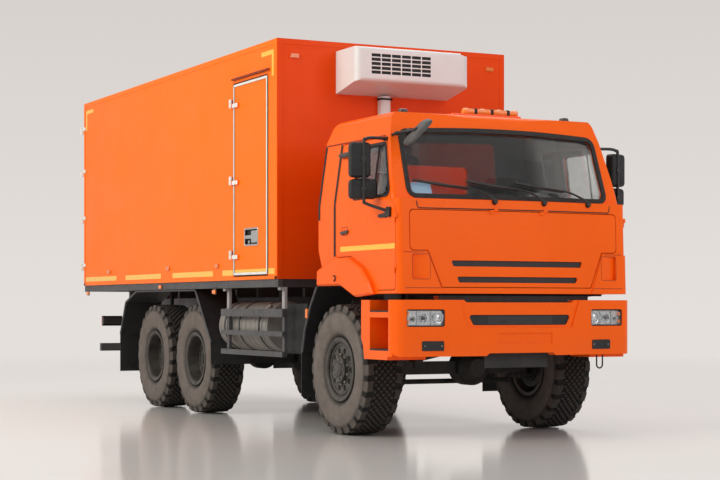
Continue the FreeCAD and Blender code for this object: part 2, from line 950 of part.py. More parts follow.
def chassis_frame():
    """What ties and ends the rails: cross members, rear beam with towing eyes, tilt pins, cab rests."""
    pieces = []
    inner = rail_outer_y - rail_web
    middle = rail_bottom + rail_height / 2
    for x in crossmember_places:
        height = (middle - crossmember_height / 2, middle + crossmember_height / 2)
        if gearbox_rear_x < x < engine_front_x:
            height = (rail_bottom - rail_web, rail_bottom)
        pieces.append(block((x, x + crossmember_width), (-inner, inner), height))
    beam_x = (rail_rear_x - rear_beam_depth, rail_rear_x)
    beam_z = (rear_beam_bottom, rear_beam_bottom + rear_beam_height)
    beam = block(beam_x, (-rear_beam_half_width, rear_beam_half_width), beam_z)
    eye = tow_eye(beam_x[0], rear_tow_y, sum(beam_z) / 2, -1)
    pieces.append(joined((beam, eye, mirrored(eye))))
    pin = rod(
        Vector(tilt_x, rail_outer_y, tilt_z),
        Vector(tilt_x, rail_outer_y + tilt_pin_length, tilt_z),
        tilt_pin_radius,
    )
    rest = block(
        (cab_rest_x, cab_rest_x + cab_rest_length),
        (cab_rest_inner_y, rail_outer_y),
        (rail_bottom + rail_height, cab_floor_bottom),
    )
    return Part.makeCompound(pieces + [pin, mirrored(pin), rest, mirrored(rest)])


def box_subframe():
    """Long members on the rails and the side sills under the box."""
    low = rail_bottom + rail_height
    long_member = block(
        (box_rear_x + bearer_step, box_front_x - bearer_step),
        (rail_outer_y - rail_flange, rail_outer_y),
        (low, low + subframe_height),
    )
    sill = block(
        (box_rear_x, box_front_x),
        (box_half_width - sill_width, box_half_width - guard_thickness),
        (sill_bottom, box_bottom),
    )
    return Part.makeCompound([long_member, mirrored(long_member), sill, mirrored(sill)])


def box_bearers():
    """Cross bearers between the long members and the box floor, wide at their tops."""
    pieces = []
    top = rail_bottom + rail_height + subframe_height
    run = box_front_x - box_rear_x - 2 * bearer_step
    reach = box_half_width - sill_width
    profile = (
        (-bearer_root_half, top),
        (bearer_root_half, top),
        (bearer_root_half, sill_bottom),
        (reach, sill_bottom),
        (reach, box_bottom),
        (-reach, box_bottom),
        (-reach, sill_bottom),
        (-bearer_root_half, sill_bottom),
    )
    for i in range(bearer_count):
        middle = box_rear_x + bearer_step + run * i / (bearer_count - 1)
        pieces.append(front_prism(profile, (middle - bearer_width / 2, middle + bearer_width / 2)))
    return Part.makeCompound(pieces)


def engine_block():
    """Engine and gearbox as one plain mass."""
    engine = block(
        (engine_rear_x, engine_front_x),
        (-engine_half_width, engine_half_width),
        (engine_bottom, engine_top),
    )
    gearbox = block(
        (gearbox_rear_x, engine_rear_x),
        (-gearbox_half_width, gearbox_half_width),
        (gearbox_bottom, gearbox_top),
    )
    return engine.fuse(gearbox)


def shaft(front, rear):
    """Round shaft between two upright flanges."""
    thick = Vector(shaft_flange_thickness, 0, 0)
    return joined((
        rod(front - thick, front, shaft_flange_radius),
        rod(rear, rear + thick, shaft_flange_radius),
        rod(front - thick / 2, rear + thick / 2, shaft_radius),
    ))


def propshafts():
    """Shafts from the gearbox to the middle axle and on to the rear axle."""
    first = shaft(
        Vector(gearbox_rear_x, 0, gearbox_bottom + shaft_flange_radius),
        Vector(axle_2_x + diff_depth, diff_y, tyre_radius),
    )
    second = shaft(
        Vector(axle_2_x - diff_depth, diff_y, tyre_radius),
        Vector(axle_3_x + diff_depth, diff_y, tyre_radius),
    )
    return Part.makeCompound([first, second])


# Insulated box

def box_floor_panel():
    """Floor slab, cut back where the side door closes over its edge."""
    slab = block(
        (box_rear_x, box_front_x),
        (-box_half_width, box_half_width),
        (box_bottom, box_bottom + box_floor),
    )
    notch = block(
        (side_door_rear_x - door_gap, side_door_front_x + door_gap),
        (-box_half_width - overrun, -box_half_width + box_wall + door_gap),
        (side_door_bottom - door_gap, box_bottom + box_floor + overrun),
    )
    return slab.cut(notch)


def box_roof_panel():
    return block(
        (box_rear_x, box_front_x),
        (-box_half_width, box_half_width),
        (box_top - box_roof_depth, box_top),
    )


def wall_heights():
    return (box_bottom + box_floor, box_top - box_roof_depth)


def box_front_wall():
    return block(
        (box_front_x - box_wall, box_front_x),
        (-box_half_width, box_half_width),
        wall_heights(),
    )


def box_side_wall():
    """Left wall between the front wall and the rear frame."""
    return block(
        (box_rear_x + box_wall, box_front_x - box_wall),
        (box_half_width - box_wall, box_half_width),
        wall_heights(),
    )


def side_hinge_heights():
    rise = side_door_top - side_door_bottom
    return [side_door_bottom + rise * share for share in side_hinge_shares]


def rear_hinge_heights():
    low, high = wall_heights()
    return [low + (high - box_header - low) * share for share in rear_hinge_shares]


def box_right_wall():
    """Right wall with the side doorway and the fixed halves of its hinges."""
    opening = block(
        (side_door_rear_x - door_gap, side_door_front_x + door_gap),
        (-box_half_width - overrun, -box_half_width + box_wall + overrun),
        (side_door_bottom - overrun, side_door_top + door_gap),
    )
    wall = mirrored(box_side_wall()).cut(opening)
    pieces = [wall]
    pin_y = -box_half_width - side_hinge_out
    for height in side_hinge_heights():
        span = (height + hinge_play / 2, height + hinge_height / 2)
        plate = block(
            (side_hinge_x - hinge_strap_length / 2, side_hinge_x),
            (-box_half_width - hinge_leaf, -box_half_width),
            span,
        )
        arm = block(
            (side_hinge_x - hinge_pin_radius, side_hinge_x),
            (pin_y, -box_half_width),
            span,
        )
        eye = rod(
            Vector(side_hinge_x, pin_y, span[0]),
            Vector(side_hinge_x, pin_y, span[1]),
            hinge_pin_radius,
        )
        pieces += [plate, arm, eye]
    drip = front_prism((
        (-box_half_width, side_door_top + drip_rail_rise),
        (-box_half_width, side_door_top + drip_rail_rise + drip_rail_height),
        (-box_half_width - drip_rail_out, side_door_top + drip_rail_rise + drip_rail_height / 2),
        (-box_half_width - drip_rail_out, side_door_top + drip_rail_rise),
    ), (side_door_rear_x, side_door_front_x + drip_rail_over))
    return joined(pieces + [drip])


def rear_frame():
    """Posts and header round the rear doors, with the fixed hinge eyes."""
    heights = wall_heights()
    span_x = (box_rear_x, box_rear_x + box_wall)
    post = block(span_x, (box_half_width - box_wall, box_half_width), heights)
    header = block(
        span_x,
        (-box_half_width + box_wall, box_half_width - box_wall),
        (heights[1] - box_header, heights[1]),
    )
    pieces = [post, mirrored(post), header]
    for height in rear_hinge_heights():
        span = (height + hinge_play / 2, height + hinge_height / 2)
        plate = block(
            (rear_hinge_x, box_rear_x + box_wall),
            (box_half_width, box_half_width + hinge_leaf),
            span,
        )
        eye = rod(
            Vector(rear_hinge_x, rear_hinge_y, span[0]),
            Vector(rear_hinge_x, rear_hinge_y, span[1]),
            hinge_pin_radius,
        )
        neck = block(
            (rear_hinge_x - hinge_pin_radius, rear_hinge_x + hinge_pin_radius),
            (box_half_width, rear_hinge_y),
            span,
        )
        for piece in (plate, eye, neck):
            pieces += [piece, mirrored(piece)]
    return joined(pieces)


def side_door():
    """Insulated leaf in the right wall with its three hinge straps and handle."""
    leaf = block(
        (side_door_rear_x, side_door_front_x),
        (-box_half_width, -box_half_width + box_wall),
        (side_door_bottom, side_door_top),
    )
    skin = -box_half_width
    edging = block(
        (side_door_rear_x, side_door_front_x),
        (skin - door_frame_proud, skin),
        (side_door_bottom, side_door_top),
    ).cut(block(
        (side_door_rear_x + door_frame_width, side_door_front_x - door_frame_width),
        (skin - door_frame_proud, skin),
        (side_door_bottom + door_frame_width, side_door_top - door_frame_width),
    ))
    cup = block(
        (handle_rear_x, handle_front_x),
        (skin - overrun, skin + handle_depth),
        (handle_bottom, handle_top),
    )
    bar_low = (handle_bottom + handle_top - handle_bar) / 2
    bar = block(
        (handle_rear_x, handle_front_x),
        (skin, skin + handle_depth / 2),
        (bar_low, bar_low + handle_bar),
    )
    pieces = [leaf.cut(cup), edging, bar]
    pin_y = skin - side_hinge_out
    for height in side_hinge_heights():
        span = (height - hinge_height / 2, height - hinge_play / 2)
        strap = block(
            (side_door_rear_x, side_door_rear_x + hinge_strap_length),
            (-box_half_width - hinge_leaf - hinge_stand_off, -box_half_width),
            span,
        )
        arm = block(
            (side_hinge_x, side_door_rear_x),
            (pin_y, -box_half_width - hinge_stand_off),
            span,
        )
        eye = rod(
            Vector(side_hinge_x, pin_y, span[0]),
            Vector(side_hinge_x, pin_y, span[1]),
            hinge_pin_radius,
        )
        pieces += [strap, arm, eye]
    return joined(pieces)


def rear_door():
    """Left rear leaf with its lock rods and hinge straps."""
    heights = wall_heights()
    span_y = (door_gap / 2, box_half_width - box_wall - door_gap)
    span_z = (heights[0] + door_gap, heights[1] - box_header - door_gap)
    leaf = block((box_rear_x, box_rear_x + box_wall), span_y, span_z)
    pieces = [leaf]
    for share in lock_rod_shares:
        y = span_y[0] + (span_y[1] - span_y[0]) * share
        x = box_rear_x - lock_rod_stand
        pieces.append(rod(Vector(x, y, span_z[0]), Vector(x, y, span_z[1]), lock_rod_radius))
        run = span_z[1] - span_z[0] - lock_guide_height
        for i in range(lock_guide_count):
            low = span_z[0] + run * i / (lock_guide_count - 1)
            pieces.append(block(
                (x, box_rear_x),
                (y - lock_guide_half, y + lock_guide_half),
                (low, low + lock_guide_height),
            ))
    for height in rear_hinge_heights():
        span = (height - hinge_height / 2, height - hinge_play / 2)
        strap_x = (box_rear_x - hinge_stand_off - hinge_leaf, box_rear_x - hinge_stand_off)
        edge = span_y[1]
        pieces.append(block(strap_x, (edge - hinge_strap_length, rear_hinge_y), span))
        pieces.append(block((strap_x[1], box_rear_x), (edge - hinge_strap_length, edge), span))
        pieces.append(rod(
            Vector(rear_hinge_x, rear_hinge_y, span[0]),
            Vector(rear_hinge_x, rear_hinge_y, span[1]),
            hinge_pin_radius,
        ))
    return joined(pieces)


def cooling_unit():
    """Housing on the front wall, its underside rising to the front."""
    side = (
        (box_front_x, unit_bottom),
        (unit_front_x, unit_bottom + unit_rise, unit_corner / 2),
        (unit_front_x, unit_top, unit_corner / 2),
        (box_front_x, unit_top),
    )
    plan = (
        (box_front_x, unit_right_y),
        (unit_front_x, unit_right_y, unit_corner),
        (unit_front_x, unit_left_y, unit_corner),
        (box_front_x, unit_left_y),
    )
    shape = side_prism(side, (unit_right_y - overrun, unit_left_y + overrun))
    shape = shape.common(plan_prism(plan, (unit_bottom - overrun, unit_top + overrun)))
    notch = block(
        (unit_front_x - unit_notch_depth, unit_front_x + overrun),
        (unit_left_y - unit_notch_width, unit_left_y + overrun),
        (unit_top - unit_notch_height, unit_top + overrun),
    )
    return shape.cut(Part.makeCompound([notch] + grille_cells()))


def grille_cells():
    """Openings between the bars of the cooling unit's front grille."""
    width = unit_left_y - unit_right_y
    start = unit_right_y + width * grille_start_share
    column = width * (grille_end_share - grille_start_share) / grille_columns
    row = grille_height / grille_rows
    low = unit_top - grille_top_drop - grille_height
    cells = []
    for i in range(grille_columns):
        for j in range(grille_rows):
            cells.append(block(
                (unit_front_x - grille_depth, unit_front_x + overrun),
                (start + column * i + grille_bar / 2, start + column * (i + 1) - grille_bar / 2),
                (low + row * j + grille_bar / 2, low + row * (j + 1) - grille_bar / 2),
            ))
    return cells


def unit_duct():
    """Upright duct on the front wall under the cooling unit."""
    return plan_prism((
        (box_front_x, duct_right_y),
        (box_front_x + duct_depth, duct_right_y, duct_corner),
        (box_front_x + duct_depth, duct_left_y, duct_corner),
        (box_front_x, duct_left_y),
    ), (duct_bottom, unit_bottom))


# Cab

def cab_plan(front, corner, inset):
    """Plan of the cab: flat sides, rounded corners and a slightly bowed face."""
    wide = cab_half_width
    face = plan_face((
        (cab_rear_x - overrun, -wide),
        (corner, -wide, cab_corner_radius),
        (front, -cab_face_half, cab_face_radius),
        (front, cab_face_half, cab_face_radius),
        (corner, wide, cab_corner_radius),
        (cab_rear_x - overrun, wide),
    ))
    return inset_face(face, inset)


def inset_face(face, inset):
    """A face drawn in by the wall's thickness."""
    return face.makeOffset2D(-inset) if inset else face


def cab_block(inset):
    """The cab's outer form, or its inner space when drawn in by the wall."""
    lower_face = cab_plan(cab_front_x, cab_corner_x, inset)
    lower_face.translate(Vector(0, 0, cab_bottom - overrun))
    lower_rise = cab_belt - inset - cab_bottom + overrun
    lower = lower_face.extrude(Vector(-cab_lower_lean, 0, lower_rise))
    upper_face = cab_plan(cab_screen_x, cab_screen_corner_x, inset)
    upper_face.translate(Vector(cab_screen_lean_share * inset, 0, cab_belt - inset))
    upper_rise = cab_top - cab_belt + inset + overrun
    upper = upper_face.extrude(Vector(-cab_screen_lean_share * upper_rise, 0, upper_rise))
    side = side_face((
        (cab_visor_x, cab_bottom),
        (cab_visor_x, cab_belt),
        (cab_brow_x, cab_brow_z),
        (cab_roof_front_x, cab_top, roof_soft),
        (cab_roof_rear_x, cab_top, cab_soft + cab_wall),
        (cab_rear_x, cab_roof_rear_z, cab_soft + cab_wall),
        (cab_rear_x, cab_rear_kink_z, cab_soft + cab_wall),
        (cab_rear_foot_x, cab_floor_bottom),
        (step_x, cab_floor_bottom),
        (step_x + step_run, cab_bottom),
    ))
    side = inset_face(side, inset)
    side.translate(Vector(0, -cab_half_width - overrun, 0))
    side = side.extrude(Vector(0, 2 * (cab_half_width + overrun), 0))
    front = front_face((
        (-cab_half_width, cab_bottom),
        (-cab_half_width, cab_belt, cab_wall * 2),
        (-cab_shoulder_half, cab_shoulder_z),
        (-cab_roof_half_width, cab_top + cab_roof_crown, cab_soft + cab_wall),
        (cab_roof_half_width, cab_top + cab_roof_crown, cab_soft + cab_wall),
        (cab_shoulder_half, cab_shoulder_z),
        (cab_half_width, cab_belt, cab_wall * 2),
        (cab_half_width, cab_bottom),
    ))
    front = inset_face(front, inset)
    front.translate(Vector(cab_rear_x - overrun, 0, 0))
    front = front.extrude(Vector(cab_visor_x - cab_rear_x + 2 * overrun, 0, 0))
    return lower.fuse(upper).common(side).common(front)


def cab_hull():
    """Hollow cab with the raised cover over the engine."""
    outer = cab_block(0)
    inner = cab_block(cab_wall)
    cover = block(
        (cab_rear_x - overrun, tunnel_front_x + cab_wall),
        (-tunnel_half - cab_wall, tunnel_half + cab_wall),
        (cab_bottom, tunnel_top + cab_wall),
    ).common(outer)
    under = block(
        (cab_rear_x - overrun, tunnel_front_x),
        (-tunnel_half, tunnel_half),
        (cab_bottom - overrun, tunnel_top),
    )
    return outer.cut(inner).fuse(cover).cut(under)


def cab_door_outline(gap):
    """Side view of a cab door, grown all round by gap."""
    return (
        (door_front_x + gap, door_bottom - gap, door_corner),
        (door_front_x + gap, door_kink_z, door_corner),
        (door_belt_x + gap, cab_belt),
        (door_top_front_x + gap, door_top + gap, door_corner),
        (door_rear_x - gap, door_top + gap, door_corner),
        (door_rear_x - gap, fender_points[2][1] + fender_clear - gap, door_corner),
        (fender_points[2][0], fender_points[2][1] + fender_clear - gap),
        (fender_points[3][0] + fender_clear / 2, fender_points[3][1] + fender_clear - gap),
        (fender_points[4][0] + fender_clear, fender_points[4][1] + fender_clear - gap),
        (fender_points[5][0] + fender_clear - gap / 2, door_bottom - gap),
    )


def window_outline():
    return (
        (window_front_x, window_bottom, window_corner),
        (window_top_front_x, window_top, window_corner),
        (window_rear_x, window_top, window_corner),
        (window_rear_x, window_bottom, window_corner),
    )


def panel_outline(gap):
    """Front view of the service panel, grown all round by gap."""
    half = (
        (panel_half + gap, panel_top + gap, door_corner),
        (panel_half + gap, panel_step_z - gap, door_corner),
        (panel_waist_half + gap, panel_step_z - gap, door_corner / 2),
        (panel_foot_half + gap, panel_bottom - gap),
    )
    other = tuple((-corner[0],) + corner[1:] for corner in half[::-1])
    return half + other


def screen_outline():
    return (
        (-screen_half_bottom, screen_bottom, screen_corner),
        (screen_half_bottom, screen_bottom, screen_corner),
        (screen_half_top, screen_top, screen_corner),
        (0, screen_top + screen_bow, screen_bow_radius),
        (-screen_half_top, screen_top, screen_corner),
    )


def rear_window_outline():
    return (
        (-rear_window_half, rear_window_bottom, window_corner),
        (rear_window_half, rear_window_bottom, window_corner),
        (rear_window_half, rear_window_top, window_corner),
        (-rear_window_half, rear_window_top, window_corner),
    )


def door_zone(gap):
    """Front view of the left side skin, in which the door and its opening lie."""
    low_y = cab_half_width - cab_wall - door_lip - gap
    high_y = cab_shoulder_half - cab_wall - door_lip - gap
    return front_prism((
        (low_y, cab_bottom - overrun),
        (cab_half_width + overrun, cab_bottom - overrun),
        (cab_half_width + overrun, cab_shoulder_z + overrun),
        (high_y, cab_shoulder_z + overrun),
        (high_y, cab_shoulder_z),
        (low_y, cab_belt),
    ), (cab_rear_x, cab_visor_x))


def across_side():
    """Span across the left side of the cab, past its skin."""
    return (cab_roof_half_width - cab_wall * 3, cab_half_width + overrun)


def screen_zone():
    return (cab_roof_front_x - cab_wall * 3, cab_visor_x + overrun)


def rear_zone():
    return (cab_rear_x - overrun, cab_rear_x + cab_wall + overrun)


def panel_zone():
    return (cab_corner_x - panel_depth * 2, cab_visor_x + overrun)


def tilt_arm():
    """Left arm from the tilt pin back up to the cab's floor."""
    y = (rail_outer_y + tilt_arm_gap, rail_outer_y + tilt_arm_gap + tilt_arm_thickness)
    centre = Vector(tilt_x, y[0], tilt_z)
    eye = rod(centre, Vector(tilt_x, y[1], tilt_z), tilt_eye_radius)
    arm = side_prism((
        (tilt_x - tilt_eye_radius, tilt_z - tilt_eye_radius),
        (tilt_x, tilt_z - tilt_eye_radius),
        (tilt_x + tilt_eye_radius / 2, tilt_z + tilt_eye_radius / 2),
        (tilt_arm_rear_x + tilt_arm_height, cab_bottom + overrun),
        (tilt_arm_rear_x - tilt_arm_height, cab_bottom + overrun),
        (tilt_arm_rear_x - tilt_arm_height, cab_bottom - tilt_arm_height / 2),
    ), y)
    bore = rod(
        Vector(tilt_x, y[0] - overrun, tilt_z),
        Vector(tilt_x, y[1] + overrun, tilt_z),
        tilt_pin_radius + bearing_gap,
    )
    return eye.fuse(arm).cut(bore)


def door_hinge(direction):
    """Half hinges on the left side: on the door (-1) or on the pillar (+1)."""
    pin_x = door_front_x + cab_door_gap / 2
    pin_y = cab_half_width + door_pin_radius
    pieces = []
    for z in door_hinge_heights:
        ends = (z + direction * hinge_play / 2, z + direction * door_hinge_half)
        span = (min(ends), max(ends))
        across = (pin_x, pin_x + direction * door_hinge_strap)
        pieces.append(block((min(across), max(across)),
                            (cab_half_width - door_lip, pin_y + door_pin_radius / 2), span))
        pieces.append(rod(Vector(pin_x, pin_y, span[0]), Vector(pin_x, pin_y, span[1]), door_pin_radius))
    return pieces


def panel_hinge(direction):
    """Half hinges of the service panel: on the panel (-1) or on the cowl (+1)."""
    pin_z = panel_top + panel_gap / 2
    lean_share = (pin_z - cab_bottom) / (cab_belt - cab_bottom)
    skin_x = cab_front_x - cab_lower_lean * lean_share
    pin_x = skin_x + door_pin_radius
    pieces = []
    for y in panel_hinge_places:
        ends = (y + direction * hinge_play / 2, y + direction * door_hinge_half)
        span = (min(ends), max(ends))
        height = (pin_z, pin_z + direction * door_hinge_strap)
        pieces.append(block((skin_x - door_lip, pin_x + door_pin_radius / 2), span,
                            (min(height), max(height))))
        pieces.append(rod(Vector(pin_x, span[0], pin_z), Vector(pin_x, span[1], pin_z), door_pin_radius))
    return pieces


def cab_shell(hull):
    """Cab without its doors, service panel and glass."""
    door_cut = side_prism(cab_door_outline(cab_door_gap), across_side())
    door_cut = door_cut.common(door_zone(cab_door_gap))
    panel_cut = front_prism(panel_outline(panel_gap), panel_zone())
    screen_cut = front_prism(screen_outline(), screen_zone())
    rear_cut = front_prism(rear_window_outline(), rear_zone())
    shell = hull
    for tool in (door_cut, mirrored(door_cut), panel_cut, screen_cut, rear_cut):
        shell = shell.cut(tool)
    pieces = [shell, tilt_arm(), mirrored(tilt_arm())]
    for piece in door_hinge(1) + [corner_skirt()]:
        pieces += [piece, mirrored(piece)]
    shell = joined(pieces + panel_hinge(1))
    return shell.cut(corner_pocket()).cut(mirrored(corner_pocket()))


def corner_skirt():
    """Left lower corner that stands proud of the cab, with a pocket that deepens outwards."""
    layer = cab_block(-skirt_out).cut(cab_block(cab_wall / 2))
    zone = front_prism((
        (panel_foot_half + panel_gap, cab_bottom),
        (cab_half_width + overrun, cab_bottom),
        (cab_half_width + overrun, skirt_top, door_corner / 2),
        (panel_waist_half + panel_gap, skirt_top),
    ), (door_front_x + cab_door_gap + door_hinge_strap, cab_visor_x + overrun))
    return layer.common(zone)


def corner_pocket():
    inner_y = pocket_outer_y - pocket_width
    return plan_prism((
        (skirt_face_x(inner_y), inner_y),
        (skirt_face_x(pocket_outer_y) - pocket_depth, pocket_outer_y),
        (cab_visor_x + overrun, pocket_outer_y),
        (cab_visor_x + overrun, inner_y),
    ), (pocket_low_z, pocket_high_z))


def skirt_face_x(y):
    """Front of the skirt at half its height, at a distance from the middle."""
    share = (y - cab_face_half) / (cab_half_width - cab_face_half)
    lean = cab_lower_lean * (pocket_low_z - cab_bottom) / (cab_belt - cab_bottom)
    return cab_front_x + skirt_out - lean - (cab_front_x - cab_corner_x) * share


def glass_layer():
    """Thin layer inside the cab's outer face in which every pane lies."""
    return cab_block(glass_depth).cut(cab_block(glass_depth + glass_thickness))


def cab_glazing(layer):
    """Windscreen and rear window."""
    screen = layer.common(front_prism(screen_outline(), screen_zone()))
    rear = layer.common(front_prism(rear_window_outline(), rear_zone()))
    return Part.makeCompound([screen, rear])


def cab_door(hull):
    """Left cab door, a piece of the cab's skin with its window cut."""
    skin = hull.common(side_prism(cab_door_outline(0), across_side()))
    skin = skin.common(door_zone(0))
    return joined([skin.cut(side_prism(window_outline(), across_side()))] + door_hinge(-1))


def door_glass(layer):
    return layer.common(side_prism(window_outline(), across_side()))


def slot_outline(low, half):
    """Front view of one long air slot with sloped ends."""
    high = low + slot_height
    return (
        (-half + slot_end_slope, low, slot_height / 4),
        (half - slot_end_slope, low, slot_height / 4),
        (half, high, slot_height / 4),
        (-half, high, slot_height / 4),
    )


def air_slots():
    return ((slot_upper_z, slot_upper_half), (slot_lower_z, slot_lower_half))


def service_panel(hull):
    """Front panel hinged at its top edge, with the two air slots cut through."""
    panel = hull.common(front_prism(panel_outline(0), panel_zone()))
    for low, half in air_slots():
        panel = panel.cut(front_prism(slot_outline(low, half), panel_zone()))
    return joined([panel] + panel_hinge(-1))


def panel_mesh():
    """Dark mesh strips set back in the two air slots."""
    layer = cab_block(glass_depth).cut(cab_block(glass_depth + slot_mesh_depth))
    strips = []
    for low, half in air_slots():
        strips.append(layer.common(front_prism(slot_outline(low, half), panel_zone())))
    return Part.makeCompound(strips)


def cab_fender():
    """Left arch that stands out from the cab's side."""
    corners = []
    for i, (x, z) in enumerate(fender_points):
        soft = fender_round if 0 < i < 5 or i == 8 else 0
        corners.append((x, z, soft))
    bevel_y = cab_half_width + fender_out - fender_bevel
    face = side_face(corners, bevel_y)
    rim_face = face.makeOffset2D(-fender_bevel)
    rim_face.translate(Vector(0, fender_bevel, 0))
    edge = Part.makeLoft([face.OuterWire, rim_face.OuterWire], True, True)
    return joined((side_prism(corners, (cab_half_width, bevel_y)), edge))


def seat(hull_floor):
    """Left seat: base, cushion and backrest as one piece."""
    y = (seat_inner_y, seat_outer_y)
    profile = (
        (seat_rear_x + seat_back_depth / 2, hull_floor),
        (seat_front_x - seat_back_depth, hull_floor),
        (seat_front_x - seat_back_depth, seat_base_top),
        (seat_front_x, seat_base_top, seat_cushion / 3),
        (seat_front_x, seat_base_top + seat_cushion, seat_cushion / 3),
        (seat_rear_x + seat_back_depth, seat_base_top + seat_cushion, seat_cushion / 3),
        (seat_rear_x, seat_back_top, seat_cushion / 3),
        (seat_rear_x - seat_back_depth, seat_back_top, seat_cushion / 3),
        (seat_rear_x - seat_back_depth / 2, seat_base_top, seat_cushion / 3),
        (seat_rear_x + seat_back_depth / 2, seat_base_top),
    )
    return side_prism(profile, y)


def dashboard():
    """Dashboard across the cab with the steering column and wheel."""
    inner = cab_block(cab_wall)
    profile = (
        (dash_rear_x, dash_bottom, door_corner),
        (cab_visor_x, dash_bottom),
        (cab_visor_x, dash_top + door_corner),
        (dash_rear_x, dash_top, door_corner),
    )
    half = cab_half_width - cab_wall - dash_side_gap
    board = side_prism(profile, (-half, half)).common(inner)
    lean = math.radians(driver_wheel_lean)
    hub = Vector(driver_wheel_x, driver_y, driver_wheel_z)
    along = Vector(-math.sin(lean), 0, math.cos(lean))
    ring = Part.makeTorus(wheel_ring_radius, wheel_ring_tube, hub, along)
    column = rod(hub, hub - along * (wheel_ring_radius * 2), wheel_ring_tube * 2)
    across = Vector(0, 1, 0)
    forward = along.cross(across)
    pieces = [board, ring, column.common(inner)]
    for way in (across, -across, forward):
        pieces.append(rod(hub, hub + way * wheel_ring_radius, wheel_ring_tube))
    bracket = rod(hub - along * wheel_ring_radius, Vector(dash_rear_x + door_corner, driver_y,
                  dash_top - door_corner * 2), wheel_ring_tube * 2)
    pieces.append(bracket)
    return joined(pieces)


def mirror_head(middle_y, width, z):
    """Mirror head with soft corners, its inner edge turned forward."""
    half = width / 2
    head = front_prism((
        (middle_y - half, z[0], mirror_soft),
        (middle_y + half, z[0], mirror_soft),
        (middle_y + half, z[1], mirror_soft),
        (middle_y - half, z[1], mirror_soft),
    ), (mirror_x - mirror_depth / 2, mirror_x + mirror_depth / 2))
    head.rotate(Vector(mirror_x, middle_y, 0), Vector(0, 0, 1), mirror_turn)
    return head


def door_mirrors():
    """Main and wide-angle mirrors of the left door on one bent tube."""
    main = mirror_head(mirror_middle_y, mirror_width, (mirror_bottom, mirror_top))
    wide = mirror_head(wide_middle_y, wide_mirror_width, (wide_bottom, wide_top))
    upper = Vector(mirror_arm_x, mirror_arm_y, mirror_arm_top)
    lower = Vector(mirror_arm_x, mirror_arm_y, mirror_arm_bottom)
    top_root = Vector(mirror_root_x, door_skin_y(mirror_arm_top) - mirror_arm_radius, mirror_arm_top)
    low_root = Vector(mirror_foot_x, cab_half_width - mirror_arm_radius, mirror_foot_z)
    pieces = [main, wide, rod(lower, upper, mirror_arm_radius)]
    pieces.append(rod(top_root, upper, mirror_arm_radius))
    pieces.append(rod(low_root, lower, mirror_arm_radius))
    for corner in (upper, lower):
        pieces.append(Part.makeSphere(mirror_arm_radius, corner))
    return joined(pieces).cut(cab_block(0))


def door_skin_y(z):
    """Half width of the cab's side at a height above its belt."""
    share = (z - cab_belt) / (cab_shoulder_z - cab_belt)
    return cab_half_width + (cab_shoulder_half - cab_half_width) * share


def screen_front_x(z):
    """Front of the windscreen's plane at a height, near the middle."""
    return cab_screen_x - cab_screen_lean_share * (z - cab_belt)


def screen_set_back(y):
    """How far the windscreen's plane lies behind its middle, towards a side."""
    share = max(0, abs(y) - cab_face_half) / (cab_half_width - cab_face_half)
    return (cab_screen_x - cab_screen_corner_x) * share


def wipers():
    """Three arms parked along the foot of the windscreen."""
    pieces = []
    tip_z = wiper_foot_z + wiper_rise
    for y in wiper_pivots:
        tip_y = y - wiper_reach
        foot_x = cab_screen_x - screen_set_back(y) + wiper_pivot_radius * 3 / 2
        bend_x = screen_front_x(wiper_foot_z) - screen_set_back(y) + wiper_stand
        tip_x = screen_front_x(tip_z) - screen_set_back(tip_y) + wiper_stand
        post = rod(Vector(foot_x, y, cab_belt), Vector(foot_x, y, wiper_foot_z), wiper_pivot_radius)
        bend = Vector(bend_x, y, wiper_foot_z)
        arm = rod(bend, Vector(tip_x, tip_y, tip_z), wiper_radius)
        link = rod(Vector(foot_x, y, wiper_foot_z - wiper_radius), bend, wiper_radius)
        pieces.append(joined((post, link, arm)))
    return Part.makeCompound(pieces)


def kerb_mirror(hull):
    """Leaning mirror that looks down over the right front corner, on its arm."""
    half, wide = kerb_mirror_length / 2, kerb_mirror_width / 2
    head = plan_prism((
        (-wide, -half, mirror_soft),
        (wide, -half, mirror_soft),
        (wide, half, mirror_soft),
        (-wide, half, mirror_soft),
    ), (-kerb_mirror_thickness / 2, kerb_mirror_thickness / 2))
    head.rotate(Vector(0, 0, 0), Vector(1, 0, 0), kerb_mirror_lean)
    head.translate(Vector(kerb_mirror_x, -kerb_mirror_y, kerb_mirror_z))
    root = Vector(kerb_arm_x, -kerb_arm_y, kerb_arm_z)
    arm = rod(root, Vector(kerb_mirror_x, -kerb_mirror_y, kerb_mirror_z), mirror_arm_radius)
    return joined((head, arm)).cut(hull)


def lamp_dome(x, y, z, radius, height):
    """Upright lamp with a rounded top."""
    return turned((
        (0, 0),
        (radius, 0),
        (radius, height, radius / 2),
        (0, height),
    ), Vector(x, y, z), Vector(0, 0, 1))


def roof_lamps():
    """Beacon bar with its domes and the two marker lamps."""
    bar = plan_prism((
        (beacon_x - beacon_depth / 2, beacon_right_y, mirror_soft),
        (beacon_x + beacon_depth / 2, beacon_right_y, mirror_soft),
        (beacon_x + beacon_depth / 2, beacon_left_y, mirror_soft),
        (beacon_x - beacon_depth / 2, beacon_left_y, mirror_soft),
    ), (cab_top, cab_top + beacon_height))
    pieces = [bar]
    for i in range(beacon_count):
        y = beacon_left_y - beacon_end_gap - beacon_pitch * i
        pieces.append(lamp_dome(beacon_x, y, cab_top + beacon_height, beacon_dome_radius, beacon_dome_height))
    lamp = lamp_dome(roof_lamp_x, roof_lamp_y, cab_top, roof_lamp_radius, roof_lamp_height)
    return Part.makeCompound([joined(pieces), lamp, mirrored(lamp)])


# Bumper, steps and lamps

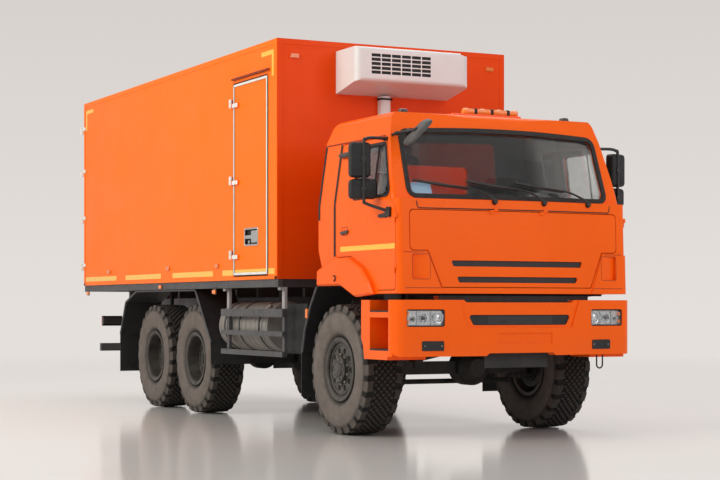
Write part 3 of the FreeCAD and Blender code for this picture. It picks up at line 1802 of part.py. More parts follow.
def steer_sweep():
    """Space that the steered left tyre passes through, with its gap."""
    outer = half_track + tyre_half_width - kingpin_y
    profile = [(0, 0)]
    reach = tyre_radius + steer_sweep_gap
    count = 4
    for i in range(count + 1):
        rise = math.radians(90.0 * i / count)
        across = reach * math.cos(rise)
        profile.append((math.hypot(across, outer + steer_sweep_gap), reach * math.sin(rise)))
    profile[0] = (0, -tyre_radius)
    profile.insert(1, (profile[1][0], -tyre_radius))
    profile.append((0, reach))
    return turned(profile, Vector(0, kingpin_y, tyre_radius), Vector(0, 0, 1))


def bumper_plan(z):
    """Plan of the bumper and its step boxes at a height."""
    return plan_face((
        (steps_rear_x, -bumper_half),
        (bumper_corner_x, -bumper_half, bumper_corner_radius),
        (bumper_front_x, -bumper_face_half, bumper_face_radius),
        (bumper_front_x, bumper_face_half, bumper_face_radius),
        (bumper_corner_x, bumper_half, bumper_corner_radius),
        (steps_rear_x, bumper_half),
    ), z)


def bumper_form():
    """Whole outer form of the bumper and its two step boxes."""
    form = bumper_plan(steps_bottom).extrude(Vector(0, 0, bumper_top - steps_bottom))
    low = block(
        (bumper_back_x - lamp_depth, bumper_front_x + overrun),
        (-bumper_half - overrun, bumper_half + overrun),
        (steps_bottom - overrun, bumper_bottom),
    )
    return form.cut(low)


def lamp_pocket():
    """Left headlamp opening."""
    return front_prism((
        (lamp_inner_y, lamp_bottom, lamp_soft),
        (lamp_outer_y, lamp_bottom, lamp_soft),
        (lamp_outer_y, lamp_top, lamp_soft),
        (lamp_inner_y, lamp_top, lamp_soft),
    ), (bumper_back_x, bumper_front_x + overrun))


def vent_outline():
    return symmetric((
        (vent_half_bottom, vent_bottom, lamp_soft),
        (vent_half_top, vent_top, lamp_soft),
    ))


def vent_pocket():
    """Wide air opening in the middle of the bumper."""
    return front_prism(vent_outline(), (bumper_front_x - vent_depth, bumper_front_x + overrun))


def band(corners, near, far):
    """Outline in y and z, cut from the bumper's skin between two depths behind its face."""
    prism = front_prism(corners, (bumper_back_x - overrun, bumper_front_x + overrun * 2))
    outer = bumper_form()
    outer.translate(Vector(-near, 0, 0))
    inner = bumper_form()
    inner.translate(Vector(-far, 0, 0))
    return outer.common(prism).cut(inner)


def symmetric(half):
    """Closed outline from its left half."""
    return tuple(half) + tuple((-corner[0],) + tuple(corner[1:]) for corner in half[::-1])


def recess_outline():
    return symmetric(((recess_half_bottom, recess_bottom, lamp_soft), (recess_half_top, bumper_top)))


def plate_outline():
    low, high = plate_middle_y - plate_half, plate_middle_y + plate_half
    return ((low, plate_bottom), (high, plate_bottom), (high, plate_top), (low, plate_top))


def blank_outline():
    return (
        (blank_inner_y, blank_bottom, blank_soft), (blank_outer_y, blank_bottom, blank_soft),
        (blank_outer_y, blank_top, blank_soft), (blank_inner_y, blank_top, blank_soft),
    )


def front_cuts():
    """What is taken off the bumper's face: brow, recess, plate ground, lower notch and corners."""
    reach = (bumper_back_x - overrun, bumper_front_x + overrun)
    brow = front_prism(symmetric((
        (brow_half - brow_taper, bumper_top - brow_drop),
        (brow_half, bumper_top + overrun),
    )), reach)
    notch = front_prism(symmetric((
        (notch_half, bumper_bottom - overrun),
        (notch_half, bumper_bottom),
        (notch_half - notch_taper, bumper_bottom + notch_height),
    )), reach)
    corner_y = bumper_half - lower_corner_radius
    corner_z = bumper_bottom + lower_corner_radius
    corner = block(reach, (corner_y, bumper_half + overrun), (steps_bottom - overrun, corner_z))
    corner = corner.cut(rod(
        Vector(reach[0] - overrun, corner_y, corner_z),
        Vector(reach[1] + overrun, corner_y, corner_z),
        lower_corner_radius,
    ))
    recess = band(recess_outline(), 0, recess_depth)
    plate = band(plate_outline(), 0, plate_depth)
    return [brow, notch, corner, mirrored(corner), recess, plate]


def front_bumper():
    """Bumper with open headlamp pockets, air opening and two step boxes."""
    form = bumper_form()
    middle = block(
        (steps_rear_x - overrun, bumper_back_x),
        (-steps_inner_y, steps_inner_y),
        (steps_bottom - overrun, bumper_top + overrun),
    )
    form = form.cut(middle)
    sweep = steer_sweep()
    for tool in (sweep, mirrored(sweep), lamp_pocket(), mirrored(lamp_pocket()), vent_pocket()):
        form = form.cut(tool)
    for well in step_wells():
        form = form.cut(well).cut(mirrored(well))
    for tool in front_cuts():
        form = form.cut(tool)
    return form


def step_wells():
    """Foot spaces above the two treads of the left step box."""
    x = (step_rear_x, step_front_x)
    y = (bumper_half - step_depth, bumper_half + overrun)
    lower = block(x, y, (tread_heights[0], step_head))
    upper = block(x, y, (tread_heights[1], bumper_top + overrun))
    return (lower, upper)


def headlamps():
    """Lamp units that fill the bumper's pockets, set back from its face."""
    lamp = bumper_form().common(lamp_pocket())
    lamp.translate(Vector(-guard_thickness, 0, 0))
    keep = block(
        (bumper_back_x, bumper_front_x),
        (lamp_inner_y, lamp_outer_y),
        (lamp_bottom, lamp_top),
    )
    return both_sides(lamp.common(keep))


def rod_loop():
    """Bent steel rod that hangs as a loop from the bumper's lower edge on the left."""
    centre = Vector(rod_loop_x, rod_loop_y, rod_loop_z)
    loop = Part.makeTorus(rod_loop_half, rod_loop_radius, centre, Vector(1, 0, 0))
    loop = loop.cut(block(
        (rod_loop_x - overrun, rod_loop_x + overrun),
        (rod_loop_y - rod_loop_half - overrun, rod_loop_y + rod_loop_half + overrun),
        (rod_loop_z, bumper_bottom),
    ))
    legs = []
    for y in (rod_loop_y - rod_loop_half, rod_loop_y + rod_loop_half):
        low, top = Vector(rod_loop_x, y, rod_loop_z), Vector(rod_loop_x, y, bumper_bottom)
        legs.append(rod(low, top, rod_loop_radius))
    return joined([loop] + legs)


def bumper_trim():
    """Step treads, the apron under the cab and the skid plate, all dark."""
    pieces = []
    for z in tread_heights:
        tread = block(
            (step_rear_x, step_front_x),
            (bumper_half - step_depth, bumper_half),
            (z, z + tread_thickness),
        )
        pieces += [tread, mirrored(tread)]
    dip = bumper_top - brow_drop
    plan = bumper_plan(dip)
    rise = Vector(0, 0, apron_top - dip)
    apron = inset_face(plan, apron_inset).extrude(rise)
    apron = apron.cut(inset_face(plan, apron_inset + apron_depth).extrude(rise))
    reach = (bumper_corner_x - apron_depth * 2, bumper_front_x)
    foot_half = brow_half - brow_taper
    apron = apron.common(joined((
        block(reach, (-apron_half, apron_half), (bumper_top, apron_top)),
        block(reach, (-foot_half, foot_half), (dip, bumper_top)),
    )))
    vent = band(vent_outline(), vent_insert_start, vent_insert_end)
    blank = band(blank_outline(), -blank_proud, 0)
    pieces += [vent, blank, mirrored(blank), rod_loop()]
    skid = block(
        (bumper_back_x, bumper_back_x + skid_thickness),
        (-skid_half, skid_half),
        (bumper_bottom - skid_height, bumper_bottom + notch_height),
    )
    return Part.makeCompound(pieces + [apron, skid])


# Pieces hung on the chassis

def mudguards():
    """Sheets behind the front wheels and over the rear wheels, with flaps and stays."""
    thick = guard_thickness
    front = side_prism(strip(front_guard_points, thick), (guard_inner_y, front_guard_outer_y))
    foot = front_guard_points[-1]
    front_flap = block(
        (foot[0] - thick - flap_thickness, foot[0] - thick),
        (guard_inner_y, front_guard_outer_y),
        (front_flap_bottom, foot[1] + flap_lap),
    )
    stay_z = front_guard_points[2][1] + flap_lap
    front_stay = rod(
        Vector(front_guard_points[2][0], rail_outer_y, stay_z),
        Vector(front_guard_points[2][0], guard_inner_y + thick, stay_z),
        stay_radius,
    )
    rear = side_prism(strip(rear_guard_points, thick), (guard_inner_y, guard_outer_y))
    first, last = rear_guard_points[0], rear_guard_points[-1]
    middle_flap = block(
        (first[0] - thick, first[0] - thick + flap_thickness),
        (guard_inner_y, guard_outer_y),
        (middle_flap_bottom, first[1] + flap_lap / 2),
    )
    rear_flap = block(
        (last[0] - flap_thickness, last[0]),
        (guard_inner_y, guard_outer_y),
        (rear_flap_bottom, last[1] + flap_lap / 2),
    )
    pieces = [rear, middle_flap, rear_flap]
    for x in (rear_guard_points[1][0], rear_guard_points[2][0]):
        z = rail_bottom + rail_height - stay_radius * 2
        top = Vector(x, guard_inner_y + thick, rear_guard_points[1][1])
        pieces.append(rod(Vector(x, rail_outer_y, z), Vector(x, guard_inner_y + thick, z), stay_radius))
        pieces.append(rod(Vector(x, guard_inner_y + thick, z - stay_radius), top, stay_radius))
    return Part.makeCompound([
        both_sides(joined((front, front_flap, front_stay))),
        both_sides(joined(pieces)),
    ])


def road_guards():
    """Side rails between the wheels and the rear underrun bar."""
    pieces = []
    outer = (rail_guard_y - rail_guard_depth, rail_guard_y)
    for span in side_rail_spans:
        pieces.append(block((side_rail_rear_x, side_rail_front_x), outer, span))
    for x in side_post_places:
        pieces.append(block(
            (x, x + side_post_width),
            (rail_guard_y - 2 * rail_guard_depth, rail_guard_y - rail_guard_depth),
            (side_rail_spans[0][0], sill_bottom),
        ))
        pieces.append(block(
            (x, x + side_post_width),
            (rail_guard_y - 2 * rail_guard_depth, rail_guard_y + rail_guard_depth / 2),
            (sill_bottom - rail_guard_depth, sill_bottom),
        ))
    bar = block(
        (underride_x, underride_x + underride_depth),
        (-underride_half, underride_half),
        (underride_bottom, underride_bottom + underride_height),
    )
    post = block(
        (underride_x, underride_x + underride_post * 2),
        (rail_outer_y - underride_post, rail_outer_y),
        (underride_bottom, rail_bottom),
    )
    return Part.makeCompound([both_sides(joined(pieces)), joined((bar, post, mirrored(post)))])


def fuel_tank():
    """Round tank on the right with its straps and consoles."""
    y = -tank_y
    tank = rod(Vector(tank_rear_x, y, tank_z), Vector(tank_front_x, y, tank_z), tank_radius)
    pieces = [tank]
    for x in strap_places:
        pieces.append(rod(Vector(x, y, tank_z), Vector(x + strap_width, y, tank_z),
                          tank_radius + strap_thickness))
        pieces.append(block(
            (x, x + console_thickness),
            (y, -rail_outer_y),
            (tank_z - tank_radius - strap_thickness, tank_z),
        ))
    for x in tank_rib_places:
        pieces.append(rod(Vector(x, y, tank_z), Vector(x + strap_thickness * 2, y, tank_z),
                          tank_radius + strap_thickness / 2))
    cap = Vector(filler_x, y - tank_radius / 2, tank_z + tank_radius / 2)
    pieces.append(rod(cap, cap + Vector(0, -filler_reach, filler_reach), filler_radius))
    return joined(pieces)


def air_tanks():
    """Two air bottles on the left, one above the other, on common consoles."""
    pieces = []
    for z in air_tank_heights:
        pieces.append(rod(Vector(air_tank_rear_x, air_tank_y, z), Vector(air_tank_front_x, air_tank_y, z),
                          air_tank_radius))
    for x in air_console_places:
        pieces.append(block(
            (x, x + console_thickness),
            (rail_outer_y, air_tank_y),
            (air_tank_heights[0], air_tank_heights[1]),
        ))
    return joined(pieces)


def side_boxes():
    """Battery box on the right and exhaust box on the left of the frame."""
    return both_sides(block(
        (locker_rear_x, locker_front_x),
        (rail_outer_y, locker_outer_y),
        (locker_bottom, locker_top),
    ))


def lamps():
    """Rear lamp units and the small marker lamps of the box."""
    pieces = []
    beam_x = rail_rear_x - rear_beam_depth
    beam_z = rear_beam_bottom + rear_beam_height / 2
    rear = block(
        (beam_x - rear_lamp_depth, beam_x),
        (rear_lamp_inner_y, rear_beam_half_width),
        (beam_z - rear_lamp_height / 2, beam_z + rear_lamp_height / 2),
    )
    pieces += [rear, mirrored(rear)]
    for x in side_marker_places:
        marker = block(
            (x - marker_length / 2, x + marker_length / 2),
            (box_half_width, box_half_width + marker_depth),
            (side_marker_z - marker_height / 2, side_marker_z + marker_height / 2),
        )
        pieces += [marker, mirrored(marker)]
    front = block(
        (box_front_x, box_front_x + marker_depth),
        (front_marker_y - marker_length / 2, front_marker_y + marker_length / 2),
        (front_marker_z - marker_height / 2, front_marker_z + marker_height / 2),
    )
    pieces += [front, mirrored(front)]
    return Part.makeCompound(pieces)


def build_wheels():
    places = (("front", 0, front_disc_offset), ("middle", axle_2_x, rear_disc_offset),
              ("rear", axle_3_x, rear_disc_offset))
    tyre = lugged_tyre()
    for name, x, disc_offset in places:
        save_pair("tyre_" + name, tyre.translated(Vector(x, half_track, tyre_radius)))
        save_pair("rim_" + name, rim(x, disc_offset))


def build_chassis():
    save_pair("knuckle", knuckle())
    save("tie_rod", tie_rod())
    save("front_axle", front_axle())
    save("rear_bogie", rear_bogie())
    save("frame_rails", frame_rails())
    save("chassis_frame", chassis_frame())
    save("box_subframe", box_subframe())
    save("box_bearers", box_bearers())
    save("engine_block", engine_block())
    save("propshafts", propshafts())
    save("front_bumper", front_bumper())
    save("bumper_trim", bumper_trim())
    save("headlamps", headlamps())
    save("mudguards", mudguards())
    save("road_guards", road_guards())
    save("fuel_tank", fuel_tank())
    save("air_tanks", air_tanks())
    save("side_boxes", side_boxes())
    save("lamps", lamps())


def build_box():
    save("box_floor", box_floor_panel())
    save("box_roof", box_roof_panel())
    save("box_front_wall", box_front_wall())
    save("box_left_wall", box_side_wall())
    save("box_right_wall", box_right_wall())
    save("rear_frame", rear_frame())
    save("side_door", side_door())
    save_pair("rear_door", rear_door())
    save("cooling_unit", cooling_unit())
    save("unit_duct", unit_duct())


def build_cab():
    hull = cab_hull()
    layer = glass_layer()
    save("cab_shell", cab_shell(hull))
    save("cab_glazing", cab_glazing(layer))
    save_pair("cab_door", cab_door(hull))
    save_pair("door_glass", door_glass(layer))
    save_pair("door_mirrors", door_mirrors())
    save("service_panel", service_panel(hull))
    save("panel_mesh", panel_mesh())
    save("cab_fenders", both_sides(cab_fender()))
    save("seats", both_sides(seat(cab_floor_bottom + cab_wall)))
    save("dashboard", dashboard())
    save("wipers", wipers())
    save("kerb_mirror", kerb_mirror(cab_block(0)))
    save("roof_lamps", roof_lamps())


os.makedirs("parts", exist_ok=True)
build_wheels()
build_chassis()
build_box()
build_cab()
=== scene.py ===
"""Dresses the packed frame of a three-axle refrigerated truck with its looks.

Places are metres in the packed frame: +X forward, +Y to the truck's left, +Z up.
"""

import json
import math

import bmesh
import bpy
import numpy as np
from bpy.props import FloatProperty, FloatVectorProperty, IntProperty, PointerProperty
from mathutils import Vector
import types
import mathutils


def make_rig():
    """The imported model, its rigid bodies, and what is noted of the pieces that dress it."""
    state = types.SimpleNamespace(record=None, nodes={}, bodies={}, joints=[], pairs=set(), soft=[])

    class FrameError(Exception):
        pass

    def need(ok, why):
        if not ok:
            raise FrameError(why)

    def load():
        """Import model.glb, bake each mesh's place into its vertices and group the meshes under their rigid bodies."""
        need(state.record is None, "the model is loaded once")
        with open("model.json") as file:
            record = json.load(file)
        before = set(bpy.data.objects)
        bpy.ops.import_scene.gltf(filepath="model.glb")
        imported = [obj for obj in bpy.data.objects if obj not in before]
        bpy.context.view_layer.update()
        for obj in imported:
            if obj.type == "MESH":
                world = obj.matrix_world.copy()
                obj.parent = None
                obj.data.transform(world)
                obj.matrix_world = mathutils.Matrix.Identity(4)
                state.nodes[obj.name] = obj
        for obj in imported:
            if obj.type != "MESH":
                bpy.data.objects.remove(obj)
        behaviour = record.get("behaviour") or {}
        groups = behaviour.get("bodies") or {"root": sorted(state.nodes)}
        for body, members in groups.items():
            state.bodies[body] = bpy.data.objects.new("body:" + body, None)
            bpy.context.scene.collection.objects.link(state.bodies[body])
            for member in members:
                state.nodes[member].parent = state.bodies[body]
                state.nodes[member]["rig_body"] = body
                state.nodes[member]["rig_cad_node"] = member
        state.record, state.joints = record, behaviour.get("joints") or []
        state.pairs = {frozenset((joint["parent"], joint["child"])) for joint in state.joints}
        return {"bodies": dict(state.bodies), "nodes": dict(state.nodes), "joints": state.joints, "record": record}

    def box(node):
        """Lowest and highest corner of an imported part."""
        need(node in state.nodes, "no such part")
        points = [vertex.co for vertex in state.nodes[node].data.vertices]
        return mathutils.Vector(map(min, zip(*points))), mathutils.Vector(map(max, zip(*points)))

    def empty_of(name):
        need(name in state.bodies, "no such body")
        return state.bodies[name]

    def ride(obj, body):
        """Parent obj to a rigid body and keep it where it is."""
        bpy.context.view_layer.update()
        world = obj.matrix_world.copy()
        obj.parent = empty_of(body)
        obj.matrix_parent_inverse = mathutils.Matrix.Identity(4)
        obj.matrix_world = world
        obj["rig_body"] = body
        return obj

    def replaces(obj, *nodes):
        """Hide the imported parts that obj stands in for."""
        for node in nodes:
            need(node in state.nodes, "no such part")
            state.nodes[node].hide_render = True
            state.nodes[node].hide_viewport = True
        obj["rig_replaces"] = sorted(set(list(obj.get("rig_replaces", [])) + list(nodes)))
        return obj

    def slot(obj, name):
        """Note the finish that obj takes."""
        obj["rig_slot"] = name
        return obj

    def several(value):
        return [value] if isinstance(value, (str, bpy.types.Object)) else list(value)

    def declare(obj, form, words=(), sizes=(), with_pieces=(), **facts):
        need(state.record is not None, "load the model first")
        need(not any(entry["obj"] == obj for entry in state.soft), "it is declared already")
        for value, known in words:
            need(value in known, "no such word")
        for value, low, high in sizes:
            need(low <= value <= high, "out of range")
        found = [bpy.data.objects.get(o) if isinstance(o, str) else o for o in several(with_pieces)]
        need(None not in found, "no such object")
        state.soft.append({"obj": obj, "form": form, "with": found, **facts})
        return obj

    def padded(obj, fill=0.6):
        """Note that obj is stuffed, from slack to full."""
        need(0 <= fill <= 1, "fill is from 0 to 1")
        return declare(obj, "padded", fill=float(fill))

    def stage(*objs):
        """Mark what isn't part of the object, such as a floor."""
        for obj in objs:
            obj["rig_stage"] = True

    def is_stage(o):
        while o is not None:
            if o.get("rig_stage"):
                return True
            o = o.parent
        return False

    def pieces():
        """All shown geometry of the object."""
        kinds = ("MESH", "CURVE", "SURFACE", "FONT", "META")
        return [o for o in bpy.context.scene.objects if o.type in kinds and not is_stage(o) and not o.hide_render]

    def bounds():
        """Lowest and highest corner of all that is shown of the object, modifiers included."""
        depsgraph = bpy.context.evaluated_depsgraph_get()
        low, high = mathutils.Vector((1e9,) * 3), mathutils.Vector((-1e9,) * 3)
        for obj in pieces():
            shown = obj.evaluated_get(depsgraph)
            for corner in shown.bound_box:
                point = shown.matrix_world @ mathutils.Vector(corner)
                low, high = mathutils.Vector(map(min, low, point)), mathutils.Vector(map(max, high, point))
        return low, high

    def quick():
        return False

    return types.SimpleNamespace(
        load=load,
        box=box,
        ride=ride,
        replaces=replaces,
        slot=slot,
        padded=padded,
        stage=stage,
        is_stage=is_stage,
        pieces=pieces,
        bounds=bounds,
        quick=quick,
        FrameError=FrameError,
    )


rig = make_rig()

bl_info = {
    "name": "Refrigerated truck looks",
    "version": (1, 0, 0),
    "blender": (4, 5, 0),
    "location": "3D View > Sidebar > Truck",
    "description": "Surfaces, trim and finishes round the packed frame of a refrigerated truck",
    "category": "Object",
}

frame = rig.load()
CAD_BOX = [list(corner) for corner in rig.bounds()]
JOINTS = {joint["name"]: joint for joint in frame["joints"]}
AXLE_X = JOINTS["wheel_front_left_spin"]["pos_m"][0]
MM = 0.001
TAU = 2 * math.pi
SIDES = (("left", 1), ("right", -1))


# Sizes and colours that a user would change

def linear(code):
    """An sRGB hex colour as linear red, green and blue."""
    parts = np.array([int(code[i:i + 2], 16) for i in (1, 3, 5)]) / 255
    low = parts / 12.92
    high = ((parts + 0.055) / 1.055) ** 2.4
    return tuple(float(v) for v in np.where(parts <= 0.04045, low, high))


def length(name, text, default):
    return FloatProperty(name=name, description=text, default=default, unit="LENGTH", subtype="DISTANCE")


def colour(name, text, code):
    return FloatVectorProperty(name=name, description=text, default=linear(code), size=3,
                               subtype="COLOR", min=0, max=1)


class PaintSettings(bpy.types.PropertyGroup):
    """Colours of the truck's finishes."""
    cab: colour("Cab orange", "Two-pack paint of the cab and bumper", "#FC6206")
    lining: colour("Lining grey", "Trim sheet inside the cab", "#8C8F92")
    # The front wall's darker orange is painted shade on the box's one gel coat
    panel: colour("Box orange", "Gel coat of the insulated box", "#FF7410")
    wall: colour("Front wall orange", "Gel coat of the box's front wall", "#EA4804")
    dust: colour("Road dust", "Dry dust on the low parts", "#8A8178")
    housing: colour("Housing white", "Moulded housing of the cooling unit", "#DCDDDC")
    tape: colour("Tape yellow", "Retroreflective marking tape", "#FFC21A")
    rubber: colour("Tyre rubber", "Dark rubber between the lugs", "#1E1D1B")


class TyreSettings(bpy.types.PropertyGroup):
    """Sizes of the tyre tread."""
    pitches: IntProperty(name="Lug pitches", description="Blocks round the tread", default=24, min=8)
    steps: IntProperty(name="Steps", description="Surface steps in one pitch", default=20, min=6)
    lug: length("Lug height", "How far a block stands out of the tread", 0.020)
    tread_half: length("Tread half width", "Half of the tread's width", 0.172)


class BoxSettings(bpy.types.PropertyGroup):
    """Sizes of the trim on the insulated box."""
    tape_height: length("Tape height", "Width of the marking tape", 0.057)
    tape_bottom: length("Tape height above ground", "Lower edge of the side marking", 1.509)
    proud: length("Tape thickness", "How far tape stands off the panel", 0.0012)
    seal_width: length("Door seal", "Dark outer part of the side door's edging", 0.011)


class StageSettings(bpy.types.PropertyGroup):
    """Camera and light."""
    lens: FloatProperty(name="Lens", description="Focal length for a 36 mm sensor", default=86.4)
    camera_ahead: length("Camera ahead", "Camera's distance ahead of the front axle", 14.397)
    camera_right: length("Camera right", "Camera's distance right of the middle", 8.157)
    camera_height: length("Camera height", "Camera's height above the floor", 1.186)
    camera_yaw: FloatProperty(name="Camera yaw", description="Heading from +X",
                              default=math.radians(153.48), unit="ROTATION", subtype="ANGLE")
    rise: FloatProperty(name="Shift", description="Upward shift of the view", default=0.0925)
    floor_radius: length("Floor radius", "Radius of the floor", 60.0)


GROUPS = {"truck_paint": PaintSettings, "truck_tyre": TyreSettings, "truck_box": BoxSettings,
          "truck_stage": StageSettings}


# Surfaces

class Surfaces:
    """Points and faces of one piece, gathered from grids of points."""

    def __init__(self):
        self.points, self.faces, self.values, self.size = [], [], [], 0

    def add(self, points, wrap_rows=False, wrap_columns=False, caps=False, values=None):
        """Joins neighbouring points of a (rows, columns, 3) array by quads.

        caps closes the first and the last row by one face each.
        """
        rows, columns = points.shape[:2]
        r = np.arange(rows if wrap_rows else rows - 1)
        c = np.arange(columns if wrap_columns else columns - 1)
        a, b = np.meshgrid(r, c, indexing="ij")
        below, beside = (a + 1) % rows, (b + 1) % columns
        quads = np.stack([a * columns + b, below * columns + b,
                          below * columns + beside, a * columns + beside], -1)
        self.faces += (quads.reshape(-1, 4) + self.size).tolist()
        if caps:
            first = np.arange(columns) + self.size
            self.faces += [first.tolist(), (first + (rows - 1) * columns)[::-1].tolist()]
        self.points.append(points.reshape(-1, 3))
        flat = np.zeros(rows * columns) if values is None else np.broadcast_to(values,
                                                                               (rows, columns)).ravel()
        self.values.append(flat)
        self.size += rows * columns
        return self

    def solid(self, points):
        """A closed outline carried along, with both ends closed."""
        return self.add(points, wrap_columns=True, caps=True)

    def ring(self, points):
        """A closed outline carried round to where it began."""
        return self.add(points, wrap_rows=True, wrap_columns=True)

    def lathed(self, points):
        """A profile turned about its axis: open along it, closed round it."""
        return self.add(points, wrap_columns=True)

    def mirror(self):
        """The same surfaces on the other side of the truck."""
        other = Surfaces()
        other.faces = [face[::-1] for face in self.faces]
        other.points = [points * np.array((1, -1, 1)) for points in self.points]
        other.values, other.size = list(self.values), self.size
        return other

    def joined(self, other):
        """These surfaces and another set as one."""
        both = Surfaces()
        both.points, both.values = self.points + other.points, self.values + other.values
        both.faces = self.faces + [[i + self.size for i in face] for face in other.faces]
        both.size = self.size + other.size
        return both


def sided(surfaces, side):
    """Surfaces made for the left side (1), or their mirror image for the right side (-1)."""
    return surfaces if side > 0 else surfaces.mirror()


def piece(name, surfaces, body, slot, finish, crease=35.0, bevel=0.0, segments=2):
    """Makes one object from surfaces: merged, facing outwards, smooth up to the crease angle."""
    mesh = bpy.data.meshes.new(name)
    mesh.from_pydata(np.concatenate(surfaces.points).tolist(), [], surfaces.faces)
    mesh.attributes.new("wear", "FLOAT", "POINT").data.foreach_set(
        "value", np.concatenate(surfaces.values).astype(np.float32))
    work = bmesh.new()
    work.from_mesh(mesh)
    bmesh.ops.remove_doubles(work, verts=work.verts, dist=0.01 * MM)
    bmesh.ops.recalc_face_normals(work, faces=work.faces)
    work.to_mesh(mesh)
    work.free()
    mesh.shade_smooth()
    mesh.set_sharp_from_angle(angle=math.radians(crease))
    mesh.materials.append(finish)
    made = bpy.data.objects.new(name, mesh)
    bpy.context.scene.collection.objects.link(made)
    if bevel:
        edge = made.modifiers.new("edges", "BEVEL")
        edge.width, edge.segments, edge.limit_method = bevel, segments, "ANGLE"
    if body:
        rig.ride(made, body)
    if slot:
        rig.slot(made, slot)
    return made


def smooth_curve(points, count):
    """Catmull-Rom curve through points, sampled count times a run."""
    p = np.asarray(points, float)
    p = np.concatenate([[2 * p[0] - p[1]], p, [2 * p[-1] - p[-2]]])
    t = (np.arange(count) / count)[None, :, None]
    a, b, c, d = (p[i:len(p) - 3 + i][:, None, :] for i in range(4))
    run = 0.5 * (2 * b + (c - a) * t + (2 * a - 5 * b + 4 * c - d) * t ** 2
                 + (3 * b - a - 3 * c + d) * t ** 3)
    return np.concatenate([run.reshape(-1, p.shape[1]), p[-2:-1]])


def step(low, high, value):
    """Smooth step from 0 at low to 1 at high."""
    t = np.clip((value - low) / (high - low), 0, 1)
    return t * t * (3 - 2 * t)


def lathe(profile, centre, axis, sides=48):
    """Profile of (radius, along) points turned about an axis: rows run along, columns round."""
    profile = np.asarray(profile, float)
    along = np.array(Vector(axis).normalized())
    seed = np.array((0.0, 0.0, 1.0)) if abs(along[2]) < 0.9 else np.array((1.0, 0.0, 0.0))
    u = seed - along * seed.dot(along)
    u /= np.linalg.norm(u)
    v = np.cross(along, u)
    turn = np.arange(sides) / sides * TAU
    round_ = np.cos(turn)[:, None] * u + np.sin(turn)[:, None] * v
    return (np.asarray(centre) + profile[:, 1, None, None] * along
            + profile[:, 0, None, None] * round_[None])


def tube(path, radius, sides=12):
    """Circle carried along a path, each ring square to the path's direction."""
    path = np.asarray(path, float)
    way = np.gradient(path, axis=0)
    way /= np.linalg.norm(way, axis=1)[:, None]
    spread = np.abs(way).max(0)
    seed = np.zeros(3)
    seed[np.argmin(spread)] = 1.0
    u = seed - way * (way @ seed)[:, None]
    u /= np.linalg.norm(u, axis=1)[:, None]
    v = np.cross(way, u)
    turn = np.arange(sides) / sides * TAU
    radius = np.broadcast_to(radius, len(path))[:, None, None]
    ring = np.cos(turn)[None, :, None] * u[:, None] + np.sin(turn)[None, :, None] * v[:, None]
    return path[:, None] + radius * ring


def rounded(corners, radius, steps=5):
    """Closed outline through corners, each rounded by an arc of the radius."""
    p = np.asarray(corners, float)
    back = np.roll(p, 1, 0) - p
    ahead = np.roll(p, -1, 0) - p
    back_length, ahead_length = np.linalg.norm(back, axis=1), np.linalg.norm(ahead, axis=1)
    back /= back_length[:, None]
    ahead /= ahead_length[:, None]
    half = np.arccos(np.clip((back * ahead).sum(1), -1, 1)) / 2
    reach = np.minimum(np.broadcast_to(radius, len(p)) / np.tan(half),
                       np.minimum(back_length, ahead_length) / 2.05)[:, None, None]
    t = np.linspace(0, 1, steps)[None, :, None]
    start, end = p[:, None] + back[:, None] * reach, p[:, None] + ahead[:, None] * reach
    bend = (1 - t) ** 2 * start + 2 * t * (1 - t) * p[:, None] + t ** 2 * end
    return bend.reshape(-1, 2)


def rectangle(low, high, radius, steps=5):
    """Rounded rectangle between two corners."""
    return rounded([(low[0], low[1]), (high[0], low[1]), (high[0], high[1]), (low[0], high[1])], radius,
                   steps)


def drawn_in(outline, depth):
    """Closed outline with every edge moved inwards by depth."""
    p = np.asarray(outline, float)
    edge = np.roll(p, -1, 0) - p
    area = (p[:, 0] * np.roll(p[:, 1], -1) - np.roll(p[:, 0], -1) * p[:, 1]).sum()
    size = np.linalg.norm(edge, axis=1)[:, None] + 1e-12
    normal = np.stack([-edge[:, 1], edge[:, 0]], 1) / size * np.sign(area)
    both = normal + np.roll(normal, 1, 0)
    scale = np.maximum((both ** 2).sum(1), 0.4)[:, None] / 2
    return p + both / scale * depth


def dense(outline, spacing):
    """Closed outline with points added on its runs, none longer than the spacing."""
    p = np.asarray(outline, float)
    runs = []
    for start, end in zip(p, np.roll(p, -1, 0)):
        count = max(1, int(np.ceil(np.linalg.norm(end - start) / spacing)))
        runs.append(start + (end - start) * (np.arange(count) / count)[:, None])
    return np.concatenate(runs)


AXES = {"side": (0, 2, 1), "front": (1, 2, 0), "top": (0, 1, 2)}


def slab(outline, plane, start, end, chamfer=0.0):
    """Plate: an outline carried from start to end across a plane, its rims drawn in by the chamfer."""
    a, b, deep = AXES[plane]
    way = math.copysign(chamfer, end - start)
    rows = [(drawn_in(outline, chamfer), start), (outline, start + way), (outline, end - way),
            (drawn_in(outline, chamfer), end)] if chamfer else [(outline, start), (outline, end)]
    points = np.zeros((len(rows), len(outline), 3))
    for i, (shape, depth) in enumerate(rows):
        points[i, :, a], points[i, :, b], points[i, :, deep] = shape[:, 0], shape[:, 1], depth
    return points


def frame_band(outer, inner, plane, start, end, chamfer=0.0):
    """Band between two outlines of as many points, from start to end, closed all round."""
    a, b, deep = AXES[plane]
    way = math.copysign(chamfer, end - start)
    rows = ((outer, start), (outer, end - way), (drawn_in(outer, chamfer), end),
            (drawn_in(inner, -chamfer), end), (inner, end - way), (inner, start))
    points = np.zeros((len(rows), len(outer), 3))
    for i, (shape, depth) in enumerate(rows):
        points[i, :, a], points[i, :, b], points[i, :, deep] = shape[:, 0], shape[:, 1], depth
    return points


def bow(y, half, spread, drop):
    """How far a bowed face lies behind its middle: none inside half, then a straight run back."""
    over = np.abs(y) - half
    blend = 0.084
    soft = np.where(over > blend, over, np.maximum(over + blend, 0) ** 2 / (4 * blend))
    return soft * drop / (spread - half)


